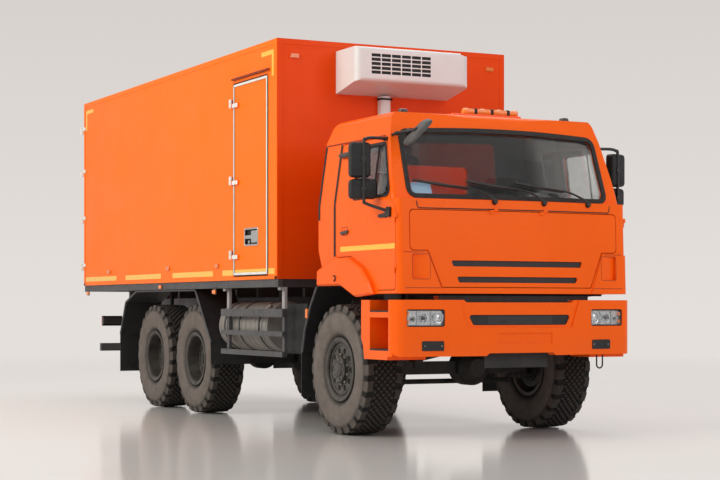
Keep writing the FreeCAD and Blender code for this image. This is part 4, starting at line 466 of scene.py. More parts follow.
def cab_face_x(y, z):
    """Front of the cab's lower skin."""
    return AXLE_X + 1.250 - bow(y, 0.300, 1.190, 0.060) - 0.030 * (z - 1.280) / 0.850


def screen_x(y, z):
    """Front of the cab's skin at the windscreen."""
    return AXLE_X + 1.150 - bow(y, 0.300, 1.190, 0.075) - 0.3705 * (z - 2.130)


def bumper_x(y):
    """Front of the bumper."""
    return AXLE_X + 1.280 - bow(y, 0.330, 1.240, 0.080)


def bumper_skin(y, z):
    """The bumper's face at a place seen from the front: the same at every height."""
    return bumper_x(y)


def cab_side_y(z):
    """Half width of the cab's side."""
    return 1.190 - 0.086 * np.maximum(z - 2.130, 0) / 0.595


def on_face(outline, skin, back, front, chamfer=0.0):
    """Plate on a curved front: an outline in y and z, from back to front of the skin's surface."""
    rows = ((outline, back), (outline, front - chamfer), (drawn_in(outline, chamfer), front))
    points = np.zeros((len(rows), len(outline), 3))
    for i, (shape, depth) in enumerate(rows):
        y, z = shape[:, 0], shape[:, 1]
        points[i] = np.stack([skin(y, z) + depth, y, z], 1)
    return points


def on_side(outline, back, front, chamfer=0.0):
    """Plate on the cab's leaning side: an outline in x and z, from back to front of the skin."""
    rows = ((outline, back), (outline, front - chamfer), (drawn_in(outline, chamfer), front))
    return np.array([np.stack([shape[:, 0], cab_side_y(shape[:, 1]) + depth, shape[:, 1]], 1)
                     for shape, depth in rows])


def face_band(outer, inner, skin, back, front):
    """Band between two outlines on a curved front, closed all round."""
    rows = ((outer, back), (outer, front), (inner, front), (inner, back))
    points = np.zeros((len(rows), len(outer), 3))
    for i, (shape, depth) in enumerate(rows):
        y, z = shape[:, 0], shape[:, 1]
        points[i] = np.stack([skin(y, z) + depth, y, z], 1)
    return points


def swell(made, channels, voxel, cap):
    """Remeshes a closed form, swells it by cloth pressure and keeps its sewn channels in place.

    A point moves along with the cloth, by the cap at most; those within a voxel of a channel stay.
    """
    scene = bpy.context.scene

    def applied():
        shape = bpy.data.meshes.new_from_object(made.evaluated_get(bpy.context.evaluated_depsgraph_get()))
        made.modifiers.clear()
        made.data = shape

    remesh = made.modifiers.new("voxels", "REMESH")
    remesh.mode, remesh.voxel_size, remesh.use_smooth_shade = "VOXEL", voxel, True
    applied()
    count = len(made.data.vertices)
    rest = np.empty(count * 3)
    made.data.vertices.foreach_get("co", rest)
    rest = rest.reshape(-1, 3)
    near = np.min([np.abs(rest[:, 1] - y) for y in channels], 0) < voxel
    held = made.vertex_groups.new(name="held")
    held.add(np.flatnonzero(near).tolist(), 1.0, "REPLACE")
    cloth = made.modifiers.new("cloth", "CLOTH")
    cloth.settings.vertex_group_mass = "held"
    cloth.settings.use_pressure, cloth.settings.uniform_pressure_force = True, 4.0
    cloth.settings.effector_weights.gravity = 0.0
    cloth.settings.quality = 4
    cloth.point_cache.frame_start, cloth.point_cache.frame_end = 1, 20
    for number in range(1, 21):
        scene.frame_set(number)
    applied()
    scene.frame_set(1)
    moved = np.empty(count * 3)
    made.data.vertices.foreach_get("co", moved)
    shift = moved.reshape(-1, 3) - rest
    size = np.linalg.norm(shift, axis=1)[:, None] + 1e-9
    made.data.vertices.foreach_set("co", (rest + shift / size * np.minimum(size, cap)).ravel())
    made.vertex_groups.clear()
    made.data.shade_smooth()


# Materials

def node(tree, kind, settings=None, links=None):
    """Adds one shader node with its properties, input values and links."""
    made = tree.nodes.new(kind)
    for key, value in (settings or {}).items():
        if isinstance(key, int) or key in made.inputs:
            made.inputs[key].default_value = value
        else:
            setattr(made, key, value)
    for key, source in (links or {}).items():
        tree.links.new(source, made.inputs[key])
    return made


def new_material(name):
    """Empty material with its output: gives the tree and the output node."""
    made = bpy.data.materials.new(name)
    made.use_nodes = True
    made.node_tree.nodes.clear()
    return made, made.node_tree, node(made.node_tree, "ShaderNodeOutputMaterial")


def noise(tree, place, size_mm, detail=4.0, roughness=0.55):
    """Noise whose blotches are size_mm across."""
    return node(tree, "ShaderNodeTexNoise", {"Scale": 1 / (size_mm * MM), "Detail": detail,
                                             "Roughness": roughness}, {"Vector": place})


def mix(tree, factor, first, second):
    """Colour between two colours, each a colour or an output."""
    made = node(tree, "ShaderNodeMix", {"data_type": "RGBA"}, {0: factor})
    for key, value in ((6, first), (7, second)):
        if isinstance(value, bpy.types.NodeSocket):
            tree.links.new(value, made.inputs[key])
        else:
            made.inputs[key].default_value = (*value, 1)
    return made.outputs[2]


def spread(tree, value, low, high, start=0.0, end=1.0):
    """Value moved from low..high to start..end, held at the ends."""
    return node(tree, "ShaderNodeMapRange", {"From Min": low, "From Max": high, "To Min": start,
                                             "To Max": end},
                {"Value": value}).outputs["Result"]


def inside(tree, place, rules):
    """1 where every rule a * |y| + b * x + c * z < d holds, else 0; x counts from the front axle."""
    apart = node(tree, "ShaderNodeSeparateXYZ", None, {"Vector": place})
    wide = node(tree, "ShaderNodeMath", {"operation": "ABSOLUTE"}, {0: apart.outputs["Y"]}).outputs[0]
    folded = node(tree, "ShaderNodeCombineXYZ", None,
                  {"X": apart.outputs["X"], "Y": wide, "Z": apart.outputs["Z"]})
    both = None
    for a, b, c, d in rules:
        way = node(tree, "ShaderNodeVectorMath", {"operation": "DOT_PRODUCT", 1: (b, a, c)},
                   {0: folded.outputs[0]})
        here = node(tree, "ShaderNodeMath", {"operation": "LESS_THAN", 1: d + b * AXLE_X},
                    {0: way.outputs["Value"]}).outputs[0]
        both = here if both is None else node(tree, "ShaderNodeMath", {"operation": "MULTIPLY"},
                                              {0: both, 1: here}).outputs[0]
    return both


def weathered(name, base, tint, tint_mm, grain_mm, grain_depth_mm, roughness, metallic=0.0, coat=0.0,
              dust_top=0.0, dust_share=0.0, soften_mm=2.0, specular=0.5, zones=()):
    """A finish with blotches of a second colour, a fine grain, softened edges and dust low down.

    base and tint are sRGB codes or linear colours. A zone is (rules, colour): it holds where
    a * |y| + b * x + c * z < d for each rule (a, b, c, d).
    """
    base, tint = (linear(shade) if isinstance(shade, str) else shade for shade in (base, tint))
    made, tree, output = new_material(name)
    place = node(tree, "ShaderNodeTexCoord").outputs["Object"]
    blotch = noise(tree, place, tint_mm)
    shade = mix(tree, spread(tree, blotch.outputs["Fac"], 0.35, 0.7), base, tint)
    for rules, other in zones:
        shade = mix(tree, inside(tree, place, rules), shade, other)
    rough = spread(tree, noise(tree, place, tint_mm / 3).outputs["Fac"], 0.3, 0.7,
                   roughness * 0.85, min(1.0, roughness * 1.2))
    if dust_share:
        height = node(tree, "ShaderNodeSeparateXYZ", None, {"Vector": place}).outputs["Z"]
        level = spread(tree, height, dust_top, 0.0)
        patches = spread(tree, noise(tree, place, 180.0, 6.0, 0.65).outputs["Fac"], 0.3, 0.75)
        cover = node(tree, "ShaderNodeMath", {"operation": "MULTIPLY"},
                     {0: level, 1: patches}).outputs[0]
        cover = node(tree, "ShaderNodeMath", {"operation": "MULTIPLY", 1: dust_share},
                     {0: cover}).outputs[0]
        dust = tuple(bpy.context.scene.truck_paint.dust)
        shade = mix(tree, cover, shade, dust)
        rough = node(tree, "ShaderNodeMath", {"operation": "MAXIMUM"}, {0: rough, 1: cover}).outputs[0]
    grain = noise(tree, place, grain_mm, 2.0)
    bump = node(tree, "ShaderNodeBump", {"Strength": 0.5, "Distance": grain_depth_mm * MM},
                {"Height": grain.outputs["Fac"]})
    if soften_mm:
        edge = node(tree, "ShaderNodeBevel", {"Radius": soften_mm * MM, "samples": 4})
        tree.links.new(edge.outputs["Normal"], bump.inputs["Normal"])
    shader = node(tree, "ShaderNodeBsdfPrincipled", {
        "Metallic": metallic, "Coat Weight": coat, "Coat Roughness": 0.08,
        "Specular IOR Level": specular,
    }, {"Base Color": shade, "Roughness": rough, "Normal": bump.outputs["Normal"]})
    tree.links.new(shader.outputs[0], output.inputs[0])
    return made


def tyre_rubber():
    """Moulded tyre rubber: black in the grooves, with pale dust on the lugs and the side wall."""
    paint = bpy.context.scene.truck_paint
    made, tree, output = new_material("moulded_tyre_rubber")
    place = node(tree, "ShaderNodeTexCoord").outputs["Object"]
    wear = node(tree, "ShaderNodeAttribute", {"attribute_name": "wear"}).outputs["Fac"]
    patches = spread(tree, noise(tree, place, 90.0, 6.0, 0.7).outputs["Fac"], 0.3, 0.7, 0.6, 1.0)
    cover = node(tree, "ShaderNodeMath", {"operation": "MULTIPLY"}, {0: wear, 1: patches}).outputs[0]
    # The pale colour is dust on the side wall and the lug ends, and a painted highlight on the lug tops
    shade = mix(tree, cover, tuple(paint.rubber), linear("#786F69"))
    grain = noise(tree, place, 3.0, 3.0)
    bump = node(tree, "ShaderNodeBump", {"Strength": 0.6, "Distance": 0.6 * MM},
                {"Height": grain.outputs["Fac"]})
    shader = node(tree, "ShaderNodeBsdfPrincipled", {"Roughness": 0.82, "Specular IOR Level": 0.3},
                  {"Base Color": shade, "Normal": bump.outputs["Normal"]})
    tree.links.new(shader.outputs[0], output.inputs[0])
    return made


def marking_tape():
    """Retroreflective tape: a honeycomb of cells under a clear film."""
    made, tree, output = new_material("retroreflective_tape")
    place = node(tree, "ShaderNodeTexCoord").outputs["Object"]
    # Real cells are 4 mm across, drawn at 12 mm so that they show
    cells = node(tree, "ShaderNodeTexVoronoi", {"feature": "DISTANCE_TO_EDGE", "Scale": 1 / (12 * MM)},
                 {"Vector": place})
    rim = spread(tree, cells.outputs["Distance"], 0.03, 0.12)
    tape = tuple(bpy.context.scene.truck_paint.tape)
    shade = mix(tree, rim, tuple(v * 0.72 for v in tape), tape)
    shader = node(tree, "ShaderNodeBsdfPrincipled", {"Roughness": 0.3, "Coat Weight": 0.5},
                  {"Base Color": shade})
    tree.links.new(shader.outputs[0], output.inputs[0])
    return made


def brushed_stainless():
    """Stainless sheet brushed along one way: bright, with fine lines."""
    made, tree, output = new_material("brushed_stainless_steel")
    place = node(tree, "ShaderNodeTexCoord").outputs["Object"]
    lines = node(tree, "ShaderNodeMapping", {"Scale": (1.0, 1.0, 40.0)}, {"Vector": place})
    scratch = noise(tree, lines.outputs[0], 60.0, 3.0)
    shade = mix(tree, scratch.outputs["Fac"], linear("#A9ABAC"), linear("#D4D6D7"))
    rough = spread(tree, scratch.outputs["Fac"], 0.3, 0.7, 0.22, 0.4)
    shader = node(tree, "ShaderNodeBsdfPrincipled", {"Metallic": 1.0},
                  {"Base Color": shade, "Roughness": rough})
    tree.links.new(shader.outputs[0], output.inputs[0])
    return made


def clear_material(name, code, roughness, weight=1.0, stain=0.06, alpha=1.0):
    """Clear or tinted glass or lens, with a faint film of dust; a thin pane is partly see-through."""
    made, tree, output = new_material(name)
    place = node(tree, "ShaderNodeTexCoord").outputs["Object"]
    film = spread(tree, noise(tree, place, 220.0, 5.0, 0.6).outputs["Fac"], 0.35, 0.8, roughness,
                  roughness + stain)
    shader = node(tree, "ShaderNodeBsdfPrincipled", {
        "Base Color": (*linear(code), 1), "Transmission Weight": weight, "IOR": 1.45, "Alpha": alpha,
    }, {"Roughness": film})
    tree.links.new(shader.outputs[0], output.inputs[0])
    return made


def ribbed_lens(name, code, rib_mm, glow=0.0, zones=()):
    """Coloured acrylic lens with moulded ribs; zones are as in a weathered finish."""
    made, tree, output = new_material(name)
    place = node(tree, "ShaderNodeTexCoord").outputs["Object"]
    ribs = node(tree, "ShaderNodeTexWave", {"Scale": 1 / (rib_mm * MM) / 2,
                                            "bands_direction": "DIAGONAL"},
                {"Vector": place})
    shade = mix(tree, ribs.outputs["Fac"], tuple(v * 0.7 for v in linear(code)), linear(code))
    for rules, other in zones:
        shade = mix(tree, inside(tree, place, rules), shade, other)
    bump = node(tree, "ShaderNodeBump", {"Strength": 0.5, "Distance": 0.8 * MM},
                {"Height": ribs.outputs["Fac"]})
    shader = node(tree, "ShaderNodeBsdfPrincipled", {
        "Roughness": 0.12, "Coat Weight": 0.6, "Emission Color": (*linear(code), 1),
        "Emission Strength": glow,
    }, {"Base Color": shade, "Normal": bump.outputs["Normal"]})
    tree.links.new(shader.outputs[0], output.inputs[0])
    return made


def wire_mesh():
    """Woven wire behind the air slots: dark squares between grey wires 12 mm apart."""
    made, tree, output = new_material("woven_wire_mesh")
    place = node(tree, "ShaderNodeTexCoord").outputs["Object"]
    lines = []
    for direction in ("Y", "Z"):
        lines.append(node(tree, "ShaderNodeTexWave",
                          {"Scale": 1 / (12 * MM) / 3.2, "bands_direction": direction},
                          {"Vector": place}).outputs["Fac"])
    both = node(tree, "ShaderNodeMath", {"operation": "MAXIMUM"}, {0: lines[0], 1: lines[1]}).outputs[0]
    wire = spread(tree, both, 0.75, 0.95)
    shade = mix(tree, wire, linear("#0B0B0C"), linear("#3E3E40"))
    bump = node(tree, "ShaderNodeBump", {"Strength": 0.8, "Distance": 2 * MM}, {"Height": wire})
    shader = node(tree, "ShaderNodeBsdfPrincipled", {"Roughness": 0.5},
                  {"Base Color": shade, "Normal": bump.outputs["Normal"]})
    tree.links.new(shader.outputs[0], output.inputs[0])
    return made


def woven_fabric():
    """Flat-woven seat cloth: threads 2 mm apart, drawn at 6 mm so that they show."""
    made, tree, output = new_material("woven_seat_cloth")
    place = node(tree, "ShaderNodeTexCoord").outputs["Object"]
    threads = node(tree, "ShaderNodeTexChecker", {"Scale": 1 / (6 * MM)}, {"Vector": place})
    shade = mix(tree, threads.outputs["Fac"], linear("#2B2D31"), linear("#3B3E43"))
    bump = node(tree, "ShaderNodeBump", {"Strength": 0.6, "Distance": 0.8 * MM},
                {"Height": threads.outputs["Fac"]})
    shader = node(tree, "ShaderNodeBsdfPrincipled", {"Roughness": 0.9, "Sheen Weight": 0.3},
                  {"Base Color": shade, "Normal": bump.outputs["Normal"]})
    tree.links.new(shader.outputs[0], output.inputs[0])
    return made


def make_finishes():
    """Every finish of the truck, by the record's slot or by a trim name."""
    paint = bpy.context.scene.truck_paint
    cab, housing, lining = tuple(paint.cab), tuple(paint.housing), tuple(paint.lining)
    panel, wall = tuple(paint.panel), tuple(paint.wall)
    # The cab's hollow, the box's front and the hinges, as rules of a zone: see weathered. The box's front takes a
    # darker orange as painted shade
    cab_room = ((1, 0, 0, 1.163), (1, 0, 0.1445, 1.163 + 0.1445 * 2.130), (0, -1, 0, 0.420),
                (0, -1, 0.5128, 0.420 + 0.5128 * 2.725), (0, 1, 0.3705, 1.045 + 0.3705 * 2.130),
                (0, 0, 1, 2.893), (0, 0, -1, -1.430), (0, 1, 0, 1.150))
    shaded_box_front = ((0, -1, 0, 1.168),)
    white = linear("#DFDFDA")
    hinge_sides = ((-1, 0, 0, -1.3050), (0, 1, 0, -7.2))
    hinge_backs = ((-1, 0, 0, -1.262), (0, 1, 0, -7.4192))
    return {
        # Two-pack paint: smooth, faint orange peel, a clear gloss over it
        "orange_paint": weathered("two_pack_paint_orange", cab, tuple(v * 0.95 for v in cab), 700, 60,
                                  0.05, 0.30, dust_top=1.1, dust_share=0.15, soften_mm=5, specular=0.18,
                                  zones=((cab_room, lining),)),
        # Gel coat on glass fibre: even, softer gloss than paint; the front wall in a darker orange as painted shade
        "box_panel": weathered("gel_coat_orange", panel, tuple(v * 0.96 for v in panel), 1100, 90, 0.05,
                               0.36, dust_top=1.6, dust_share=0.06, soften_mm=3, specular=0.10,
                               zones=((shaded_box_front, wall), (hinge_sides, white), (hinge_backs, white))),
        # Moulded thermoplastic: dark grey with a fine leather grain
        "dark_plastic": weathered("grained_moulded_plastic", "#17181A", "#1F2022", 120, 2.5, 0.35,
                                  0.55, dust_top=1.3, dust_share=0.10, soften_mm=3, specular=0.4),
        # Moulded thermoplastic in mid grey
        "grey_moulding": weathered("grey_moulded_plastic", "#3B3A39", "#4C4A48", 60, 3, 0.3, 0.5,
                                   soften_mm=2),
        # Chassis paint: satin black over steel, dusty
        "chassis_paint": weathered("satin_chassis_paint", "#1B1C1D", "#292926", 160, 6, 0.3,
                                   0.6, dust_top=1.4, dust_share=0.25, soften_mm=3, specular=0.4),
        # Grey satin paint on steel, dusty
        "grey_steel": weathered("grey_painted_steel", "#3F4043", "#4A4A4B", 200, 8, 0.2,
                                0.5, dust_top=1.5, dust_share=0.2, soften_mm=3),
        # The same paint on guards and rails, pale where it stands above 1.165 m
        "guard_steel": weathered("guard_rail_paint", "#3F4043", "#4A4A4B", 200, 8, 0.2, 0.5,
                                 dust_top=1.5, dust_share=0.15, soften_mm=3,
                                 zones=((((0, 0, -1, -1.165),), linear("#9A9896")),)),
        # Satin wheel paint, dark and dusty
        "rim_paint": weathered("pressed_steel_rim_paint", "#252422", "#3A3734", 90, 6, 0.3,
                               0.5, dust_top=1.6, dust_share=0.35, soften_mm=4),
        # Painted steel sheet of the tank: mid grey, satin, dusty
        "tank": weathered("grey_tank_paint", "#7E7A76", "#8C8884", 220, 8, 0.2, 0.5,
                          dust_top=1.5, dust_share=0.3, soften_mm=3),
        # Brushed aluminium reflector plate of the headlamp
        "reflector": weathered("satin_lamp_reflector", "#C9CCCF", "#B4B7BA", 18, 3, 0.1, 0.28,
                               metallic=0.85, soften_mm=1),
        # Coated card: flat, pale blue, blank
        "card": weathered("coated_card", "#A8CBEA", "#B9D6EE", 60, 2, 0.02, 0.6, soften_mm=0),
        # Roof lamps: amber ribs, the cab's colour below 2.963 m, black over 0.7 m from the middle
        "roof_lens": ribbed_lens("amber_roof_lens", "#FF9314", 5.0, 0.0,
                                 ((((0, 0, 1, 2.963),), cab), (((-1, 0, 0, -0.7),), linear("#101112")))),
        # Box and tail lamps: amber, the tail lamps black with a red and an amber half behind
        "rear_lens": ribbed_lens("amber_and_red_lens", "#F2780C", 6.0, 0.0,
                                 ((((0, 1, 0, -7.2),), linear("#101112")),
                                  (((0, 1, 0, -7.385), (1, 0, 0, 0.960)), linear("#B0140C")),
                                  (((0, 1, 0, -7.385), (-1, 0, 0, -0.960)), linear("#F2780C")))),
        # Tyre rubber: matt, greyed by dust, paler on the lug tops as a painted highlight
        "tyre_rubber": tyre_rubber(),
        # Moulded white housing: smooth gloss
        "white_housing": weathered("white_moulded_housing", housing, tuple(v * 0.94 for v in housing),
                                   500, 10, 0.05, 0.32, coat=0.1, soften_mm=5),
        # Brushed stainless steel
        "stainless": brushed_stainless(),
        # Tinted safety glass
        "clear_glass": clear_material("tinted_safety_glass", "#C4D0CF", 0.02, alpha=0.30),
        # Ribbed amber lens at the headlamps and side markers
        "lamp_lens": ribbed_lens("amber_acrylic_lens", "#F2780C", 6.0, 0.15),
        # Clear cover of the headlamps
        "lamp_chrome": clear_material("clear_lamp_cover", "#F4F6F8", 0.03, 0.9, alpha=0.25),
        # Woven cloth of the seats
        "seat_fabric": woven_fabric(),
        # Yellow reflective marking tape
        "tape": marking_tape(),
        # Black wire mesh
        "mesh": wire_mesh(),
        # Extruded sealing rubber: matt black with a faint bloom
        "seal": weathered("extruded_sealing_rubber", "#151515", "#222221", 60, 3, 0.2, 0.7,
                          soften_mm=1),
        # White powder coat on the door frame
        "white_profile": weathered("white_powder_coat", "#E4E4E0", "#D5D5D0", 160, 4, 0.08, 0.4,
                                   soften_mm=1),
        # Vapour-chromed bowls of the headlamps
        "chrome": weathered("vapour_chromed_reflector", "#DDE0E3", "#C8CBCE", 40, 3, 0.02, 0.08,
                            metallic=1.0, soften_mm=1),
        # Silvered glass of the mirrors
        "mirror": weathered("silvered_mirror_glass", "#D6DADC", "#C9CDCF", 200, 5, 0.005, 0.03,
                            metallic=1.0, soften_mm=0),
        # Powder coat on thin steel tube: black, satin, fine
        "satin_black": weathered("black_powder_coated_tube", "#0E0E0F", "#1A1A1A", 60, 2, 0.1,
                                 0.4, soften_mm=1),
        # Extruded edge rubber: a lighter grey than black rubber, as a painted sheen on the rounded bead
        "edge_rubber": weathered("extruded_edge_rubber", "#3A3A3B", "#4A4A4B", 60, 3, 0.2, 0.45,
                                 soften_mm=1),
        # Amber lens of the beacon rail
        "amber_clear": ribbed_lens("amber_beacon_lens", "#FF8A0A", 5.0, 0.0),
        # Moulded black gloss: deep, with a hard highlight
        "gloss_black": weathered("gloss_black_moulding", "#0C0D0F", "#141517", 40, 2, 0.02, 0.12,
                                 soften_mm=1),
        # Zinc-plated bolts and nuts
        "zinc": weathered("zinc_plated_fastener", "#8E8C86", "#6F6C66", 30, 2, 0.1, 0.45,
                          metallic=0.9, soften_mm=1),
        # Sealant in a seam between two painted sheets: the paint's colour in shade
        "seam": weathered("shaded_seam_sealant", "#8E2A05", "#7A2405", 60, 3, 0.1, 0.6,
                          soften_mm=1),
        # Dark red rubber profile over the side door
        "drip_red": weathered("dark_red_rubber_profile", "#7A1E12", "#651A10", 90, 4, 0.1, 0.6,
                              soften_mm=1),
    }


FINISH = {}


# Pieces

def at(x, y, z):
    """A place measured from the front axle, in the packed frame."""
    return np.array((AXLE_X + x, y, z))


def box_span():
    """Lowest and highest corner of the insulated box."""
    low = np.minimum(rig.box("box_floor")[0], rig.box("box_roof")[0])
    high = np.maximum(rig.box("box_floor")[1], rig.box("box_roof")[1])
    return low, high


class TRUCK_OT_finishes(bpy.types.Operator):
    """Makes the finishes and gives every CAD node the one of its slot."""
    bl_idname = "truck.finishes"
    bl_label = "Finishes"

    def execute(self, context):
        FINISH.update(make_finishes())
        slots = {row["node"]: row["material_slot"] for row in frame["record"]["subparts"]}
        special = {"panel_mesh": "mesh", "fuel_tank": "tank", "roof_lamps": "roof_lens",
                   "road_guards": "guard_steel", "lamps": "rear_lens"}
        for name, made in frame["nodes"].items():
            made.data.materials.clear()
            made.data.materials.append(FINISH[special.get(name, slots[name])])
        return {"FINISHED"}


def tread_height(turn, across, settings):
    """Block pattern from 0 to 1: lugs on each shoulder and a lattice of diamonds between them.

    The lattice is where |frac(u) - 1/2| and |frac(v) - 1/2| are both small, with u and v the sum and
    the difference of the place round the tyre and the place across it.
    """
    side = np.where(across > 0, 1.0, -1.0)
    t = np.abs(across)
    phase = turn / TAU * settings.pitches
    shoulder = np.abs((phase + 0.25 * side + 0.18 * t) % 1 - 0.5)
    lug = (1 - step(0.29, 0.35, shoulder)) * step(0.66, 0.70, t + 0.06 * (shoulder > 0.16))
    around, wide = phase * 2.5, across * 2.9
    u, v = (around + wide) % 1 - 0.5, (around - wide) % 1 - 0.5
    lattice = (1 - step(0.30, 0.42, np.abs(u))) * (1 - step(0.30, 0.42, np.abs(v))) * (1 - step(0.60,
                                                                                                0.64, t))
    return np.maximum(lug, lattice)


def tyre_grid(centre, side, settings):
    """Carcass profile turned about the axle, with the block pattern added to its radius."""
    low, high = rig.box("tyre_front_left")
    outer = (high[2] - low[2]) / 2
    bead, half = 0.292, 0.150
    wall = smooth_curve([(settings.tread_half, outer - 0.020), (0.190, outer - 0.075), (0.199, 0.455),
                         (0.188, 0.365), (half, bead)], 5)
    crown = np.linspace(-settings.tread_half, settings.tread_half, 47)
    crown = np.stack([crown, outer - settings.lug * (0.35 * (crown / settings.tread_half) ** 2)], 1)
    bore = np.array([(half, 0.268), (-half, 0.268)])
    other = wall[::-1] * np.array((-1, 1))
    profile = np.concatenate([crown, wall[1:], bore, other[:-1]])
    turn = np.arange(settings.pitches * settings.steps) / (settings.pitches * settings.steps) * TAU
    y, radius = profile[:, 0][:, None], profile[:, 1][:, None]
    reach = step(outer - 0.095, outer - 0.045, radius)
    lug = tread_height(turn[None], y / settings.tread_half, settings) * reach
    depth = settings.lug * np.where(np.abs(y) > settings.tread_half * 0.999, 0.7, 1.0)
    radius = radius - depth * (1 - lug) * step(outer - 0.090, outer - 0.030, radius)
    x = centre[0] + radius * np.cos(turn)
    z = centre[2] + radius * np.sin(turn)
    wall_dust = 0.9 * step(0.30, 0.36, radius) * (1 - step(outer - 0.095, outer - 0.055, radius))
    edge = 0.55 * lug * step(settings.tread_half * 0.94, settings.tread_half, np.abs(y))
    # Second value: 0.24 on the lug tops is a painted highlight; the pale on the shoulder lug ends and the side wall is
    # dust
    return np.stack([x, centre[1] + side * y + 0 * x, z], -1), np.maximum(np.maximum(0.24 * lug, edge),
                                                                          wall_dust)


class TRUCK_OT_tyres(bpy.types.Operator):
    """Six block-tread tyres."""
    bl_idname = "truck.tyres"
    bl_label = "Tyres"

    def execute(self, context):
        settings = context.scene.truck_tyre
        for place in ("front", "middle", "rear"):
            for name, side in SIDES:
                centre = JOINTS[f"wheel_{place}_{name}_spin"]["pos_m"]
                points, wear = tyre_grid(centre, side, settings)
                made = piece(f"tread_{place}_{name}", Surfaces().add(points, True, True, values=wear),
                             f"wheel_{place}_{name}", "tyre_rubber", FINISH["tyre_rubber"], crease=50)
                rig.replaces(made, f"tyre_{place}_{name}")
        return {"FINISHED"}


def bolt_ring(shape, centre, side, circle, face, count, radius, height, turn=0.0):
    """Hexagon heads in a circle on a wheel's outer face."""
    for i in range(count):
        angle = TAU * (i + turn) / count
        spot = (centre[0] + circle * math.cos(angle), centre[1] + side * face,
                centre[2] + circle * math.sin(angle))
        head = [(0, 0), (radius, 0), (radius, height * 0.8), (radius * 0.8, height), (0, height)]
        shape.lathed(lathe(head, spot, (0, side, 0), 6))


class TRUCK_OT_wheels(bpy.types.Operator):
    """Lock rings, nuts, hub caps and valves of the six wheels."""
    bl_idname = "truck.wheels"
    bl_label = "Wheels"

    def execute(self, context):
        for place in ("front", "middle", "rear"):
            for name, side in SIDES:
                centre = JOINTS[f"wheel_{place}_{name}_spin"]["pos_m"]
                face = 0.142 if place == "front" else 0.024
                hub = face + 0.034
                ring = Surfaces()
                lip = [(0.262, 0.163), (0.290, 0.163), (0.296, 0.156), (0.300, 0.166), (0.294, 0.176),
                       (0.268, 0.170)]
                ring.ring(lathe(lip, centre, (0, side, 0), 72))
                inner = [(0.222, face), (0.236, face), (0.238, face + 0.006), (0.229, face + 0.011),
                         (0.220, face + 0.006)]
                ring.ring(lathe(inner, centre, (0, side, 0), 72))
                cap = [(0, hub + 0.020), (0.045, hub + 0.020), (0.062, hub + 0.012), (0.068, hub),
                       (0, hub)]
                ring.lathed(lathe(cap, centre, (0, side, 0), 40))
                piece(f"lock_ring_{place}_{name}", ring, f"wheel_{place}_{name}", "rim_paint",
                      FINISH["rim_paint"])
                if place == "front":
                    # The hand holes are drawn as black discs with a lip round them: painted shade of the wheel's
                    # inside seen through them
                    holes = Surfaces()
                    for i in range(10):
                        angle = TAU * i / 10
                        spot = (centre[0] + 0.178 * math.cos(angle), centre[1],
                                centre[2] + 0.178 * math.sin(angle))
                        rim = [(0, face - 0.006), (0.0225, face - 0.006), (0.0230, face + 0.0015),
                               (0.0245, face + 0.0030), (0.0265, face + 0.0020), (0.0270, face + 0.0004),
                               (0.0236, face + 0.0004), (0.0236, face - 0.008), (0, face - 0.008)]
                        holes.lathed(lathe(rim, spot, (0, side, 0), 20))
                    piece(f"hand_holes_{place}_{name}", holes, f"wheel_{place}_{name}", "rim_paint",
                          FINISH["seal"])
                nuts = Surfaces()
                bolt_ring(nuts, centre, side, 0.139, face, 10, 0.0155, 0.020, 0.5)
                bolt_ring(nuts, centre, side, 0.094, hub, 8, 0.010, 0.010)
                piece(f"wheel_nuts_{place}_{name}", nuts, f"wheel_{place}_{name}", "stainless",
                      FINISH["zinc"])
        return {"FINISHED"}


